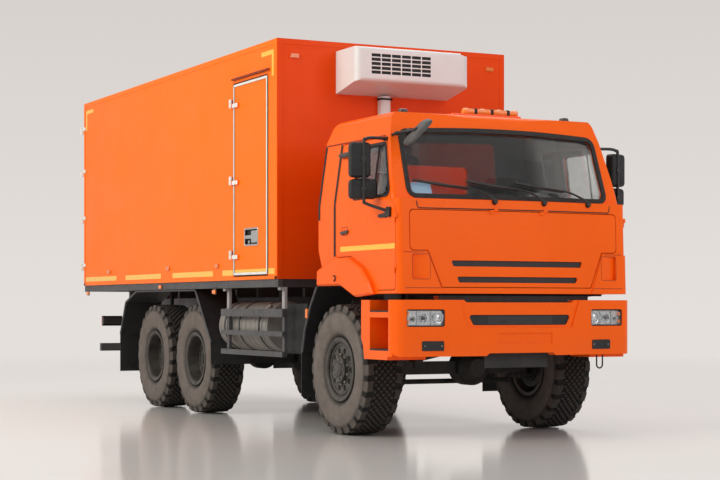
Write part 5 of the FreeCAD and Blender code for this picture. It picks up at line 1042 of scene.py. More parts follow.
class TRUCK_OT_box_marks(bpy.types.Operator):
    """Marking tape, edge profiles and panel seams of the insulated box."""
    bl_idname = "truck.box_marks"
    bl_label = "Box marks"

    def execute(self, context):
        settings = context.scene.truck_box
        low, high = box_span()
        out = high[1] + settings.proud
        bottom, top = settings.tape_bottom, settings.tape_bottom + settings.tape_height
        side_tape = Surfaces()
        for start, end in ((-7.336, -6.096), (-5.749, -4.495), (-4.108, -2.873), (-2.599, -2.300),
                           (-1.384, -1.232)):
            outline = rectangle((AXLE_X + start, bottom), (AXLE_X + end, top), 0.004, 2)
            side_tape.solid(slab(outline, "side", high[1], out))
        arm, wide, drop = 0.26, settings.tape_height * 0.8, 0.100
        for x, way in ((low[0] + 0.085, 1), (high[0] - 0.085, -1)):
            xs = sorted((x, x + way * wide))
            outline = rectangle((xs[0], high[2] - drop - arm), (xs[1], high[2] - drop), 0.004, 2)
            side_tape.solid(slab(outline, "side", high[1], out))
            xs = sorted((x + way * wide, x + way * (wide + arm)))
            outline = rectangle((xs[0], high[2] - drop - wide), (xs[1], high[2] - drop), 0.004, 2)
            side_tape.solid(slab(outline, "side", high[1], out))
        piece("side_marking", side_tape.joined(side_tape.mirror()), "root", "box_panel", FINISH["tape"])
        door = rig.box("side_door")
        outline = rectangle((door[0][0] + 0.045, bottom), (door[1][0] - 0.045, top), 0.004, 2)
        tape = Surfaces().solid(slab(outline, "side", low[1], -out))
        piece("door_marking", tape, "side_door", "box_panel", FINISH["tape"])
        edges = Surfaces()
        leg, thick = 0.055, 0.004
        for x, way in ((low[0], 1), (high[0], -1)):
            xs = sorted((x + way * thick, x + way * leg))
            outline = rectangle((xs[0], low[2]), (xs[1], high[2] - 0.001), 0.002, 2)
            edges.solid(slab(outline, "side", high[1], high[1] + thick, 0.001))
        outline = rectangle((low[0] + leg, high[2] - leg), (high[0] - leg, high[2] - 0.001), 0.002, 2)
        edges.solid(slab(outline, "side", high[1], high[1] + thick, 0.001))
        outline = rectangle((low[0] + 0.001, low[2]), (high[0] - 0.001, low[2] + 0.030), 0.002, 2)
        edges.solid(slab(outline, "side", high[1], high[1] + thick, 0.001))
        outline = rectangle((-high[1] + 0.004, high[2] - leg), (high[1] - 0.004, high[2] - 0.001), 0.002,
                            2)
        edges.solid(slab(outline, "front", high[0], high[0] + thick, 0.001))
        for y in (-high[1] + 0.004, high[1] - 0.004 - leg):
            outline = rectangle((y, low[2]), (y + leg, high[2] - leg), 0.002, 2)
            edges.solid(slab(outline, "front", high[0], high[0] + thick, 0.001))
        piece("edge_profiles", edges.joined(edges.mirror()), "root", "box_panel", FINISH["box_panel"])
        return {"FINISHED"}


class TRUCK_OT_side_door(bpy.types.Operator):
    """Frame, seal, hinges, handle and drip rail of the side door."""
    bl_idname = "truck.side_door"
    bl_label = "Side door"

    def execute(self, context):
        settings = context.scene.truck_box
        low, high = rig.box("side_door")
        skin = box_span()[0][1]
        wide, rim, proud = 0.0364, settings.seal_width, 0.0066
        x0, x1 = AXLE_X - 2.293, AXLE_X - 1.390
        z0, z1 = low[2], high[2]
        outer = rectangle((x0 - 0.0004, z0 - 0.0004), (x1 + 0.0004, z1 + 0.0004), 0.030)
        middle, inner = drawn_in(outer, rim), drawn_in(outer, wide)
        band = Surfaces().ring(frame_band(middle, inner, "side", skin, skin - proud - 0.001, 0.0015))
        piece("side_door_frame", band, "side_door", "white_housing", FINISH["white_profile"])
        seal = Surfaces().ring(frame_band(outer, middle, "side", skin, skin - proud, 0.001))
        piece("side_door_seal", seal, "side_door", "dark_plastic", FINISH["seal"])
        handle, pan = Surfaces(), Surfaces()
        cup = rectangle((AXLE_X - 1.987, 1.816), (AXLE_X - 1.653, 1.977), 0.014)
        handle.ring(frame_band(drawn_in(cup, -0.012), drawn_in(cup, 0.006), "side", skin, skin - 0.005,
                               0.002))
        pan.solid(slab(drawn_in(cup, 0.001), "side", skin + 0.0235, skin + 0.0225))
        pan.ring(frame_band(drawn_in(cup, 0.0005), drawn_in(cup, 0.002), "side", skin + 0.0235,
                            skin + 0.0005))
        bar = rectangle((AXLE_X - 1.985, 1.8795 - 0.0006), (AXLE_X - 1.655, 1.9135 + 0.0006), 0.003, 3)
        handle.solid(slab(bar, "side", skin + 0.0126, skin - 0.0012, 0.001))
        paddle = rectangle((AXLE_X - 1.815, 1.835), (AXLE_X - 1.670, 1.958), 0.012)
        handle.solid(slab(paddle, "side", skin + 0.0100, skin - 0.0060, 0.003))
        knob = [(0, 0), (0.020, 0), (0.020, 0.006), (0.014, 0.010), (0, 0.010)]
        handle.lathed(lathe(knob, (AXLE_X - 1.900, skin + 0.0120, 1.845), (0, -1, 0), 24))
        piece("side_door_handle", handle, "side_door", "stainless", FINISH["stainless"])
        piece("side_door_cup", pan, "side_door", "dark_plastic", FINISH["seal"])
        plates, pins = Surfaces(), Surfaces()
        for share in (0.111, 0.497, 0.8975):
            z = z0 + (z1 - z0) * share
            leaf = rectangle((x0 + 0.004, z - 0.044), (x0 + 0.150, z - 0.002), 0.008)
            plates.solid(slab(leaf, "side", skin - 0.017, skin - 0.0215, 0.001))
            fixed = rectangle((x0 - 0.094, z + 0.002), (x0 - 0.020, z + 0.044), 0.008)
            pins.solid(slab(fixed, "side", skin - 0.011, skin - 0.0155, 0.001))
            sleeve = [(0.0142, 0.001), (0.0168, 0.001), (0.0175, 0.003), (0.0175, 0.042),
                      (0.0168, 0.0445), (0.0142, 0.0445)]
            pin = (AXLE_X - 2.312, skin - 0.026, z)
            pins.ring(lathe(sleeve, pin, (0, 0, 1), 24))
            plates.ring(lathe(sleeve, pin, (0, 0, -1), 24))
            for dx in (0.060, 0.110):
                dome = [(0, 0), (0.008, 0), (0.007, 0.004), (0, 0.006)]
                plates.lathed(lathe(dome, (x0 + dx, skin - 0.021, z - 0.023), (0, -1, 0), 12))
        piece("side_hinge_leaves", plates, "side_door", "stainless", FINISH["white_profile"])
        piece("side_hinge_plates", pins, "root", "stainless", FINISH["white_profile"])
        rail = Surfaces()
        strip = rectangle((x0 - 0.001, z1 + 0.0344), (x1 + 0.0508, z1 + 0.0516), 0.005)
        rail.solid(slab(strip, "side", skin, skin - 0.031, 0.003))
        piece("drip_rail", rail, "root", "dark_plastic", FINISH["drip_red"])
        return {"FINISHED"}


class TRUCK_OT_rear_doors(bpy.types.Operator):
    """Seals, handles and hinge leaves of the two rear doors."""
    bl_idname = "truck.rear_doors"
    bl_label = "Rear doors"

    def execute(self, context):
        low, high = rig.box("rear_door_left")
        skin = box_span()[0][0]
        seal, steel = Surfaces(), Surfaces()
        y0, y1, z0, z1 = low[1], 1.214, low[2], high[2]
        outer = rectangle((y0 + 0.001, z0 + 0.001), (y1, z1 - 0.001), 0.010)
        seal.ring(frame_band(outer, drawn_in(outer, 0.020), "front", skin, skin - 0.005, 0.001))
        for share in (0.27, 0.78):
            y = 0.003 + (y1 - 0.003) * share
            z = z0 + 0.62
            bar = smooth_curve([(skin - 0.034, y, z), (skin - 0.042, y - 0.040, z),
                                (skin - 0.042, y - 0.180, z - 0.01),
                                (skin - 0.037, y - 0.235, z - 0.01)], 5)
            steel.solid(tube(bar, 0.009, 10))
            hub = rectangle((y - 0.032, z - 0.045), (y + 0.032, z + 0.045), 0.012)
            steel.solid(slab(hub, "front", skin - 0.020, skin - 0.040, 0.003))
        for name, side in SIDES:
            door = f"rear_door_{name}"
            piece(f"rear_seal_{name}", sided(seal, side), door, "dark_plastic", FINISH["seal"])
            piece(f"rear_handles_{name}", sided(steel, side), door, "stainless", FINISH["stainless"])
        return {"FINISHED"}


class TRUCK_OT_cooling_unit(bpy.types.Operator):
    """Grille, louvres and latch of the cooling unit, and its duct collar."""
    bl_idname = "truck.cooling_unit"
    bl_label = "Cooling unit"

    def execute(self, context):
        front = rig.box("cooling_unit")[1][0]
        ys, zs = np.linspace(-0.501, 0.172, 7), np.linspace(3.465, 3.675, 6)
        lift = 0.006
        dark = Surfaces()
        for i in range(6):
            for j in range(5):
                cell = rectangle((ys[i] + lift, zs[j] + lift), (ys[i + 1] - lift, zs[j + 1] - lift),
                                 0.004, 3)
                dark.solid(slab(drawn_in(cell, 0.0008), "front", front - 0.0155, front - 0.0145))
                dark.ring(frame_band(drawn_in(cell, 0.0004), drawn_in(cell, 0.0016), "front",
                                     front - 0.0155,
                                    front - 0.0025))
                slat = rectangle((ys[i] + lift, (zs[j] + zs[j + 1]) / 2 - 0.002),
                                 (ys[i + 1] - lift, (zs[j] + zs[j + 1]) / 2 + 0.002), 0.001, 2)
                dark.solid(slab(slat, "front", front - 0.0145, front - 0.009))
        piece("unit_openings", dark, "root", "dark_plastic", FINISH["mesh"])
        duct_low, duct_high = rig.box("unit_duct")
        collar_outer = rectangle((duct_low[0] - 0.002, duct_low[1] - 0.012), (duct_high[0] + 0.012,
                                 duct_high[1] + 0.012), 0.012)
        collar_inner = rectangle((duct_low[0] - 0.001, duct_low[1] - 0.0005), (duct_high[0] + 0.0005,
                                 duct_high[1] + 0.0005), 0.002)
        collar = Surfaces().ring(frame_band(collar_outer, collar_inner, "top", duct_high[2] - 0.040,
                                           duct_high[2] - 0.022, 0.002))
        piece("duct_collar", collar, "root", "dark_plastic", FINISH["seal"])
        return {"FINISHED"}


class TRUCK_OT_cab_trim(bpy.types.Operator):
    """Windscreen rubber, side window rubbers, door tape, handles and the cab's seams."""
    bl_idname = "truck.cab_trim"
    bl_label = "Cab trim"

    def execute(self, context):
        corners = [(-1.020, 2.168), (1.020, 2.168), (1.005, 2.735), (-1.005, 2.735)]
        inner = dense(rounded(corners, 0.070, 9), 0.060)
        rise = 0.030 * step(2.66, 2.73, inner[:, 1]) * np.clip(1 - (inner[:, 0] / 1.005) ** 2, 0, 1)
        inner = inner + np.stack([rise * 0, rise], 1)
        outer = drawn_in(inner, -0.030)
        rubber = Surfaces().ring(face_band(outer, drawn_in(inner, 0.010), screen_x, -0.012, 0.009))
        piece("screen_rubber", rubber, "cab", "dark_plastic", FINISH["seal"])
        window = rounded([(AXLE_X + 0.990, 2.170), (AXLE_X + 0.800, 2.630), (AXLE_X + 0.285, 2.630),
                          (AXLE_X + 0.285, 2.170)], 0.040, 7)
        grown = drawn_in(window, -0.020)
        narrow = drawn_in(window, 0.006)
        rows = []
        for shape, off in ((grown, -0.006), (grown, 0.005), (narrow, 0.005), (narrow, -0.010)):
            rows.append(np.stack([shape[:, 0], cab_side_y(shape[:, 1]) + off, shape[:, 1]], 1))
        band = Surfaces().ring(np.array(rows))
        top_x = AXLE_X + 0.665
        post = np.array([(top_x, 2.175), (top_x, 2.400), (top_x, 2.628)])
        post = np.stack([post[:, 0], cab_side_y(post[:, 1]) - 0.012, post[:, 1]], 1)
        band.solid(tube(post, 0.009, 8))
        tape_outline = rectangle((AXLE_X + 0.030, 1.692), (AXLE_X + 1.112, 1.737), 0.003, 2)
        tape = Surfaces().solid(slab(tape_outline, "side", 1.190, 1.1912))
        grip, recess = Surfaces(), Surfaces()
        cup = rectangle((AXLE_X + 0.060, 1.838), (AXLE_X + 0.190, 1.915), 0.024)
        recess.ring(frame_band(cup, drawn_in(cup, 0.005), "side", 1.190, 1.1925, 0.001))
        bar = rounded([(AXLE_X + 0.062, 1.846), (AXLE_X + 0.205, 1.858), (AXLE_X + 0.205, 1.886),
                       (AXLE_X + 0.062, 1.874)], 0.012, 5)
        grip.solid(slab(bar, "side", 1.189, 1.214, 0.006))
        lamp = [(0, -0.105), (0.020, -0.105), (0.024, -0.095), (0.024, 0.060), (0.016, 0.075),
                (0.014, 0.105), (0, 0.105)]
        grip.lathed(lathe(lamp, at(0.055, 1.150, 2.585), (1, 0, 0), 24))
        sill, dark_edge_strips = Surfaces(), Surfaces()
        # Black strips along the door's rear edge, as painted shade in the door gap, and along the cab's rear edge,
        # where the rear seal shows
        for x, z_low in ((-0.090, 1.650), (-0.423, 2.000)):
            z = np.linspace(z_low, 2.692, 15)
            y = cab_side_y(z)
            corners = ((-0.020, -0.004), (-0.017, 0.004), (0.017, 0.004), (0.020, -0.004))
            ring = [np.stack([np.full(len(z), AXLE_X + x + dx), y + dy, z], 1) for dx, dy in corners]
            dark_edge_strips.solid(np.stack(ring, 1))
        gutter = rectangle((AXLE_X - 0.443, 2.699), (AXLE_X + 0.780, 2.709), 0.003, 3)
        sill.solid(on_side(dense(gutter, 0.3), -0.004, 0.008, 0.002))
        piece("side_seals", dark_edge_strips.joined(dark_edge_strips.mirror()), "cab", "dark_plastic", FINISH["seal"])
        piece("roof_gutters", sill.joined(sill.mirror()), "cab", "orange_paint", FINISH["seam"])
        top = Surfaces()
        run = np.linspace(-0.990, 0.990, 41)
        path = np.concatenate([[(-1.010, 2.108), (-1.002, 2.062)], np.stack([run, run * 0 + 2.046], 1),
                               [(1.002, 2.062), (1.010, 2.108)]])
        top.solid(tube(np.stack([cab_face_x(path[:, 0], path[:, 1]) - 0.0015, path[:, 0], path[:, 1]],
                                1), 0.0055, 8))
        piece("panel_top_seal", top, "cab", "dark_plastic", FINISH["seal"])
        lines = Surfaces()

        def skirt_skin(y, z):
            return cab_face_x(y, z) + 0.012

        pocket = rectangle((0.897, 1.427), (1.063, 1.643), 0.018, 5)
        lines.ring(face_band(drawn_in(pocket, -0.004), pocket, skirt_skin, -0.001, 0.0008))
        for z in (1.661, 1.350):
            row = dense(rectangle((0.800 if z < 1.4 else 0.945, z - 0.0025), (1.135, z + 0.0025), 0.001,
                                  2), 0.05)
            lines.solid(on_face(row, skirt_skin if z < 1.4 else cab_face_x, -0.001, 0.0010))
        piece("corner_lines", lines.joined(lines.mirror()), "cab", "orange_paint", FINISH["seam"])
        card = rectangle((-0.985, 2.182), (-0.795, 2.279), 0.002, 2)
        piece("screen_card", Surfaces().solid(on_face(dense(card, 0.05), screen_x, -0.026, -0.025)),
              "cab", "clear_glass", FINISH["card"])
        # A black strip behind the gap under the cab's front, so that the gap shows dark: painted shade
        strip = rectangle((-1.000, 1.281), (1.000, 1.3005), 0.003, 3)
        piece("floor_seal", Surfaces().solid(slab(strip, "front", AXLE_X + 1.050, AXLE_X + 1.062,
                                                  0.002)), "cab", "dark_plastic", FINISH["seal"])
        for name, side in SIDES:
            piece(f"window_rubber_{name}", sided(band, side), f"cab_door_{name}", "dark_plastic",
                  FINISH["seal"])
            piece(f"door_tape_{name}", sided(tape, side), f"cab_door_{name}", "orange_paint",
                  FINISH["tape"])
            piece(f"door_handle_{name}", sided(grip, side), f"cab_door_{name}", "dark_plastic",
                  FINISH["grey_moulding"])
            piece(f"door_handle_rim_{name}", sided(recess, side), f"cab_door_{name}", "orange_paint",
                  FINISH["seam"])
        return {"FINISHED"}


class TRUCK_OT_mirrors(bpy.types.Operator):
    """Rounded mirror heads with their glass, on the door tubes."""
    bl_idname = "truck.mirrors"
    bl_label = "Mirrors"

    def execute(self, context):
        heads, glass, stand = Surfaces(), Surfaces(), Surfaces()
        turn = math.radians(17)
        outward = np.array((-math.sin(turn), math.cos(turn), 0))
        ahead = np.array((math.cos(turn), math.sin(turn), 0))
        for y, width, z0, z1 in ((1.362, 0.190, 2.325, 2.635), (1.330, 0.250, 2.135, 2.310)):
            middle = at(0.775, y, (z0 + z1) / 2)
            outline = rectangle((-width / 2, z0 - middle[2]), (width / 2, z1 - middle[2]), 0.042, 7)

            def ring(depth, shape):
                return middle + depth * ahead + shape[:, :1] * outward + shape[:,
                                                                               1:] * np.array((0, 0,
                                                                                               1.0))

            rows = [ring(depth, drawn_in(outline, inset)) for depth, inset in
                    ((-0.040, 0.008), (-0.044, 0.004), (-0.044, 0.0), (0.014, 0.0), (0.030, 0.004),
                     (0.040, 0.014), (0.044, 0.034))]
            heads.solid(np.array(rows))
            pane = drawn_in(outline, 0.010)
            glass.solid(np.array([ring(-0.040, pane), ring(-0.0420, pane)]))
            spot = at(0.826, 1.346, middle[2] - 0.004)
            knob = [(0, -0.020), (0.016, -0.020), (0.022, -0.014), (0.022, 0.010), (0.014, 0.016),
                    (0, 0.016)]
            stand.lathed(lathe(knob, spot, ahead, 24))
            collar = [(0.0142, -0.030), (0.0185, -0.026), (0.0185, 0.026), (0.0142, 0.030)]
            stand.ring(lathe(collar, spot, (0, 0, 1), 20))
        path = smooth_curve([at(0.800, 1.098, 2.672), at(0.816, 1.260, 2.676), at(0.824, 1.325, 2.662),
                             at(0.826, 1.346, 2.625), at(0.826, 1.346, 2.300), at(0.826, 1.346, 2.130),
                             at(0.842, 1.330, 2.090), at(1.000, 1.176, 2.015)], 8)
        stand.solid(tube(path, 0.014, 14))
        root = rounded([(AXLE_X + 0.955, 1.985), (AXLE_X + 1.045, 1.965), (AXLE_X + 1.050, 2.055),
                        (AXLE_X + 0.985, 2.060)], 0.014, 5)
        stand.solid(slab(root, "side", 1.186, 1.214, 0.005))
        finger = rounded([(AXLE_X + 0.810, 1.972), (AXLE_X + 0.975, 1.966), (AXLE_X + 0.975, 2.012),
                          (AXLE_X + 0.815, 1.998)], 0.010, 5)
        stand.solid(slab(finger, "side", 1.188, 1.206, 0.004))
        clamp = rounded([(AXLE_X + 0.760, 2.655), (AXLE_X + 0.835, 2.655), (AXLE_X + 0.835, 2.690),
                         (AXLE_X + 0.760, 2.690)], 0.008, 5)
        stand.solid(slab(clamp, "side", 1.100, 1.124, 0.004))
        for name, side in SIDES:
            made = piece(f"mirror_heads_{name}", sided(heads, side), f"cab_door_{name}", "dark_plastic",
                         FINISH["dark_plastic"], crease=30)
            stay = piece(f"mirror_stay_{name}", sided(stand, side), f"cab_door_{name}", "dark_plastic",
                         FINISH["satin_black"], crease=40)
            for shape in (made, stay):
                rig.replaces(shape, f"door_mirrors_{name}")
            piece(f"mirror_glass_{name}", sided(glass, side), f"cab_door_{name}", "stainless",
                  FINISH["mirror"])
        return {"FINISHED"}


class TRUCK_OT_headlamps(bpy.types.Operator):
    """Headlamp units: black bezel, two reflectors, amber side lamp and clear cover."""
    bl_idname = "truck.headlamps"
    bl_label = "Headlamps"

    def execute(self, context):
        bezel, chrome, amber, cover = Surfaces(), Surfaces(), Surfaces(), Surfaces()
        plate, dark = Surfaces(), Surfaces()
        outer = rectangle((0.764, 1.012), (1.123, 1.160), 0.020, 7)
        inner = drawn_in(outer, 0.007)
        bezel.ring(face_band(outer, inner, bumper_skin, -0.070, -0.006))
        bezel.solid(on_face(outer, bumper_skin, -0.080, -0.068))
        plate.solid(on_face(inner, bumper_skin, -0.066, -0.034, 0.004))
        for low, high in (((0.880, 1.030), (0.886, 1.142)), ((1.012, 1.030), (1.018, 1.142))):
            plate.solid(on_face(rectangle(low, high, 0.002, 2), bumper_skin, -0.034, -0.020, 0.001))
        for y, z, radius, deep in ((0.819, 1.090, 0.050, 0.020), (0.955, 1.086, 0.040, 0.014),
                                   (1.058, 1.076, 0.024, 0.010)):
            x = bumper_x(np.array(y)) - 0.016
            ring = [(radius, 0.0), (radius * 0.90, -0.002), (radius * 0.72, -deep),
                    (radius * 0.72, -0.030), (radius, -0.030)]
            chrome.ring(lathe(ring, (x, y, z), (1, 0, 0), 40))
            glass = [(0, -0.004), (radius * 0.30, -0.005), (radius * 0.48, -0.010),
                     (radius * 0.55, -0.022), (0, -0.022)]
            target = chrome if radius > 0.045 else dark
            target.lathed(lathe(glass, (x, y, z), (1, 0, 0), 32))
            well = [(0, -0.0225), (radius * 0.71, -0.0225), (radius * 0.71, -0.028), (0, -0.028)]
            dark.lathed(lathe(well, (x, y, z), (1, 0, 0), 32))
        for z in (1.052, 1.122):
            block = rectangle((1.094, z - 0.016), (1.114, z + 0.016), 0.005, 4)
            amber.solid(on_face(block, bumper_skin, -0.034, -0.016, 0.003))
        pane = drawn_in(outer, 0.009)
        cover.solid(on_face(pane, bumper_skin, -0.011, -0.006, 0.001))
        made = piece("headlamp_bezels", bezel.joined(bezel.mirror()), "root", "dark_plastic",
                     FINISH["dark_plastic"])
        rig.replaces(made, "headlamps")
        piece("headlamp_reflectors", chrome.joined(chrome.mirror()), "root", "lamp_chrome",
              FINISH["chrome"])
        piece("headlamp_plates", plate.joined(plate.mirror()), "root", "lamp_chrome",
              FINISH["reflector"])
        piece("headlamp_lenses", dark.joined(dark.mirror()), "root", "dark_plastic",
              FINISH["gloss_black"])
        piece("headlamp_amber", amber.joined(amber.mirror()), "root", "lamp_lens", FINISH["lamp_lens"])
        piece("headlamp_covers", cover.joined(cover.mirror()), "root", "lamp_chrome",
              FINISH["lamp_chrome"])
        return {"FINISHED"}


class TRUCK_OT_small_parts(bpy.types.Operator):
    """Bolts, vent mesh, markers, tank straps, guard edges and the hook on the fender."""
    bl_idname = "truck.small_parts"
    bl_label = "Small parts"

    def execute(self, context):
        bolts = Surfaces()
        for y in (0.796, 0.956):
            dome = [(0, -0.002), (0.008, -0.002), (0.007, 0.003), (0, 0.005)]
            bolts.lathed(lathe(dome, (bumper_x(np.array(y)) + 0.005, y, 0.842), (1, 0, 0), 12))
        piece("blank_bolts", bolts.joined(bolts.mirror()), "root", "stainless", FINISH["zinc"])
        vent = dense(rectangle((-0.338, 1.029), (0.338, 1.107), 0.004, 3), 0.08)
        piece("vent_mesh", Surfaces().solid(on_face(vent, bumper_skin, -0.0215, -0.0205)), "root",
              "dark_plastic", FINISH["mesh"])
        hook = smooth_curve([at(-0.035, 1.238, 1.468), at(0.020, 1.246, 1.470), at(0.040, 1.250, 1.450),
                             at(0.020, 1.248, 1.425), at(-0.005, 1.244, 1.424)], 5)
        ends = Surfaces().solid(tube(hook, 0.0055, 8))
        piece("fender_hooks", ends.joined(ends.mirror()), "cab", "dark_plastic", FINISH["seal"])
        marks, brackets = Surfaces(), Surfaces()
        for x, z in ((-7.26, 1.357), (-4.52, 1.412), (-2.84, 1.343)):
            lens = rectangle((AXLE_X + x - 0.042, z - 0.021), (AXLE_X + x + 0.042, z + 0.021), 0.008)
            marks.solid(slab(lens, "side", 1.293, 1.310, 0.005))
            plate = rectangle((AXLE_X + x - 0.048, z - 0.027),
                              (AXLE_X + x + 0.048, max(z + 0.027, 1.396)), 0.005)
            brackets.solid(slab(plate, "side", 1.2895, 1.2935, 0.001))
        lens = rectangle((AXLE_X - 0.640, 1.075), (AXLE_X - 0.600, 1.165), 0.008)
        marks.solid(slab(lens, "side", 1.222, 1.242, 0.005))
        piece("side_markers", marks.joined(marks.mirror()), "root", "lamp_lens", FINISH["lamp_lens"])
        piece("marker_brackets", brackets.joined(brackets.mirror()), "root", "chassis_paint",
              FINISH["satin_black"])
        beads = Surfaces()
        rear = [(-3.020, 0.795), (-3.492, 1.366), (-5.450, 1.366), (-5.844, 1.235), (-6.049, 0.850)]
        front = [(-0.413, 1.368), (-0.560, 1.180), (-0.680, 0.960), (-0.745, 0.742)]
        for corners, y in ((rear, 1.262), (front, 1.222)):
            path = []
            for start, end in zip(corners[:-1], corners[1:]):
                count = max(2, int(math.dist(start, end) / 0.05))
                path.append(np.array(start) + (np.array(end) - start) * (np.arange(count) / count)[:,
                                                                                                   None])
            path = np.concatenate(path + [np.array(corners[-1:])])
            beads.solid(tube(np.stack([AXLE_X + path[:, 0], path[:, 0] * 0 + y, path[:, 1] + 0.004], 1),
                             0.013, 10))
        # The beads' grey is a painted sheen on their rounded edge
        piece("guard_edges", beads.joined(beads.mirror()), "root", "dark_plastic", FINISH["edge_rubber"])
        straps = Surfaces()
        for x in (-2.820, -2.420, -1.900):
            ring = [(0.2560, -0.016), (0.2630, -0.014), (0.2630, 0.014), (0.2560, 0.016)]
            straps.ring(lathe(ring, at(x, -0.925, 0.982), (1, 0, 0), 72))
        piece("tank_straps", straps, "root", "chassis_paint", FINISH["satin_black"])
        return {"FINISHED"}


class TRUCK_OT_wipers(bpy.types.Operator):
    """Wiper arms that curve up from their knobs, with blades lying along the glass."""
    bl_idname = "truck.wipers"
    bl_label = "Wipers"

    def execute(self, context):
        shape = Surfaces()
        for pivot in (-0.249, 0.268, 0.759):
            def spot(across, z, off, skin=screen_x):
                y = np.array(pivot + across)
                return float(skin(y, z) + off), float(y), z

            knob = [(0, -0.030), (0.022, -0.030), (0.026, -0.010), (0.024, 0.012), (0.012, 0.020),
                    (0, 0.020)]
            shape.lathed(lathe(knob, spot(0, 2.116, 0.010, cab_face_x), (0.92, 0, 0.4), 20))
            arm = smooth_curve([spot(0, 2.116, 0.014, cab_face_x), spot(-0.050, 2.165, 0.084),
                                spot(-0.120, 2.205, 0.064),
                                spot(-0.200, 2.232, 0.046), spot(-0.330, 2.250, 0.036),
                                spot(-0.470, 2.266, 0.030)], 6)
            shape.solid(tube(arm, np.linspace(0.011, 0.006, len(arm)), 10))
            blade = smooth_curve([spot(-0.215, 2.228, 0.020), spot(-0.470, 2.262, 0.022),
                                  spot(-0.735, 2.298, 0.020)], 12)
            along = np.abs(np.linspace(-1, 1, len(blade)))
            shape.solid(tube(blade, 0.0160 - 0.0060 * along, 8))
        made = piece("wiper_arms", shape, "cab", "dark_plastic", FINISH["satin_black"], crease=50)
        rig.replaces(made, "wipers")
        return {"FINISHED"}


class TRUCK_OT_kerb_mirror(bpy.types.Operator):
    """Long oval mirror that leans out over the right front corner, with its arm and clamps."""
    bl_idname = "truck.kerb_mirror"
    bl_label = "Kerb mirror"

    def execute(self, context):
        middle = at(1.150, -0.990, 2.713)
        lean = math.radians(45)
        along = np.array((0, math.cos(lean), math.sin(lean)))
        out = np.array((0, -math.sin(lean), math.cos(lean)))
        outline = rectangle((-0.095, -0.160), (0.095, 0.160), 0.088, 9)
        rows = []
        for depth, inset in ((-0.018, 0.006), (-0.022, 0.002), (-0.018, 0.0), (0.000, 0.002),
                             (0.012, 0.014), (0.019, 0.034), (0.022, 0.060)):
            shape = drawn_in(outline, inset)
            rows.append(middle + depth * out + shape[:, :1] * np.array((1.0, 0, 0)) + shape[:,
                                                                                            1:] * along)
        head = Surfaces().solid(np.array(rows))
        made = piece("kerb_mirror_head", head, "cab", "dark_plastic", FINISH["grey_moulding"], crease=30)
        stay = Surfaces()
        arm = [at(0.835, -1.092, 2.697), at(0.930, -1.075, 2.712), at(1.060, -1.030, 2.722),
               middle + out * 0.016]
        stay.solid(tube(smooth_curve(arm, 6), 0.0125, 12))
        for spot, way, size in ((arm[1], (1, 0.2, 0.1), 1.0), (arm[2], (1, 0.4, 0.1), 1.0),
                                (middle + out * 0.016, out, 1.3)):
            ball = [(0, -0.024), (0.016, -0.020), (0.022, 0.0), (0.016, 0.020), (0, 0.024)]
            stay.lathed(lathe([(r * size, t) for r, t in ball], spot, way, 16))
        held = piece("kerb_mirror_arm", stay, "cab", "dark_plastic", FINISH["satin_black"])
        for shape in (made, held):
            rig.replaces(shape, "kerb_mirror")
        pane = drawn_in(outline, 0.012)
        glass = np.array([middle + depth * out + pane[:, :1] * np.array((1.0, 0, 0)) + pane[:,
                                                                                            1:] * along
                          for depth in (-0.0215, -0.0225)])
        piece("kerb_mirror_glass", Surfaces().solid(glass), "cab", "stainless",
              FINISH["mirror"])
        return {"FINISHED"}


class TRUCK_OT_beacons(bpy.types.Operator):
    """Amber rail that joins the beacon's domes, and their dark feet."""
    bl_idname = "truck.beacons"
    bl_label = "Beacon bar"

    def execute(self, context):
        rail, feet = Surfaces(), Surfaces()
        outline = rectangle((AXLE_X + 0.478, 2.966), (AXLE_X + 0.562, 3.018), 0.020)
        rail.solid(slab(outline, "side", -0.170, 0.412, 0.012))
        piece("beacon_rail", rail, "cab", "lamp_lens", FINISH["amber_clear"])
        for i in range(3):
            y = 0.2975 - 0.175 * i
            foot = rectangle((AXLE_X + 0.472, 2.962), (AXLE_X + 0.568, 3.0225), 0.022)
            feet.solid(slab(foot, "side", y - 0.014, y + 0.014, 0.003))
        piece("beacon_feet", feet, "cab", "dark_plastic", FINISH["seal"])
        return {"FINISHED"}


class TRUCK_OT_seats(bpy.types.Operator):
    """Padded driver's and passenger's seats, swelled by cloth pressure between their sewn channels."""
    bl_idname = "truck.seats"
    bl_label = "Seats"

    def execute(self, context):
        low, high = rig.box("seats")
        inner, outer = 0.462, high[1] - 0.012
        form = rounded([(AXLE_X - 0.050, 1.712), (AXLE_X + 0.405, 1.712), (AXLE_X + 0.405, 1.826),
                        (AXLE_X + 0.062, 1.826), (AXLE_X - 0.070, 2.446), (AXLE_X - 0.176, 2.446)],
                        0.045, 6)
        base = rounded([(AXLE_X + 0.005, low[2]), (AXLE_X + 0.290, low[2]), (AXLE_X + 0.290, 1.700),
                        (AXLE_X + 0.005, 1.700)], 0.015, 4)
        for name, side in SIDES:
            y0, y1 = sorted((side * inner, side * outer))
            pad = piece(f"seat_pad_{name}", Surfaces().solid(slab(form, "side", y0, y1, 0.030)), "cab",
                        "seat_fabric", FINISH["seat_fabric"])
            channels = [y0 + (y1 - y0) * share for share in (0.27, 0.73)]
            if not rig.quick():
                swell(pad, channels, voxel=0.012, cap=0.011)
            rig.padded(pad, fill=0.7)
            stand = piece(f"seat_base_{name}",
                          Surfaces().solid(slab(base, "side", y0 + 0.03, y1 - 0.03, 0.006)), "cab",
                          "dark_plastic", FINISH["dark_plastic"])
            for shape in (pad, stand):
                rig.replaces(shape, "seats")
        return {"FINISHED"}


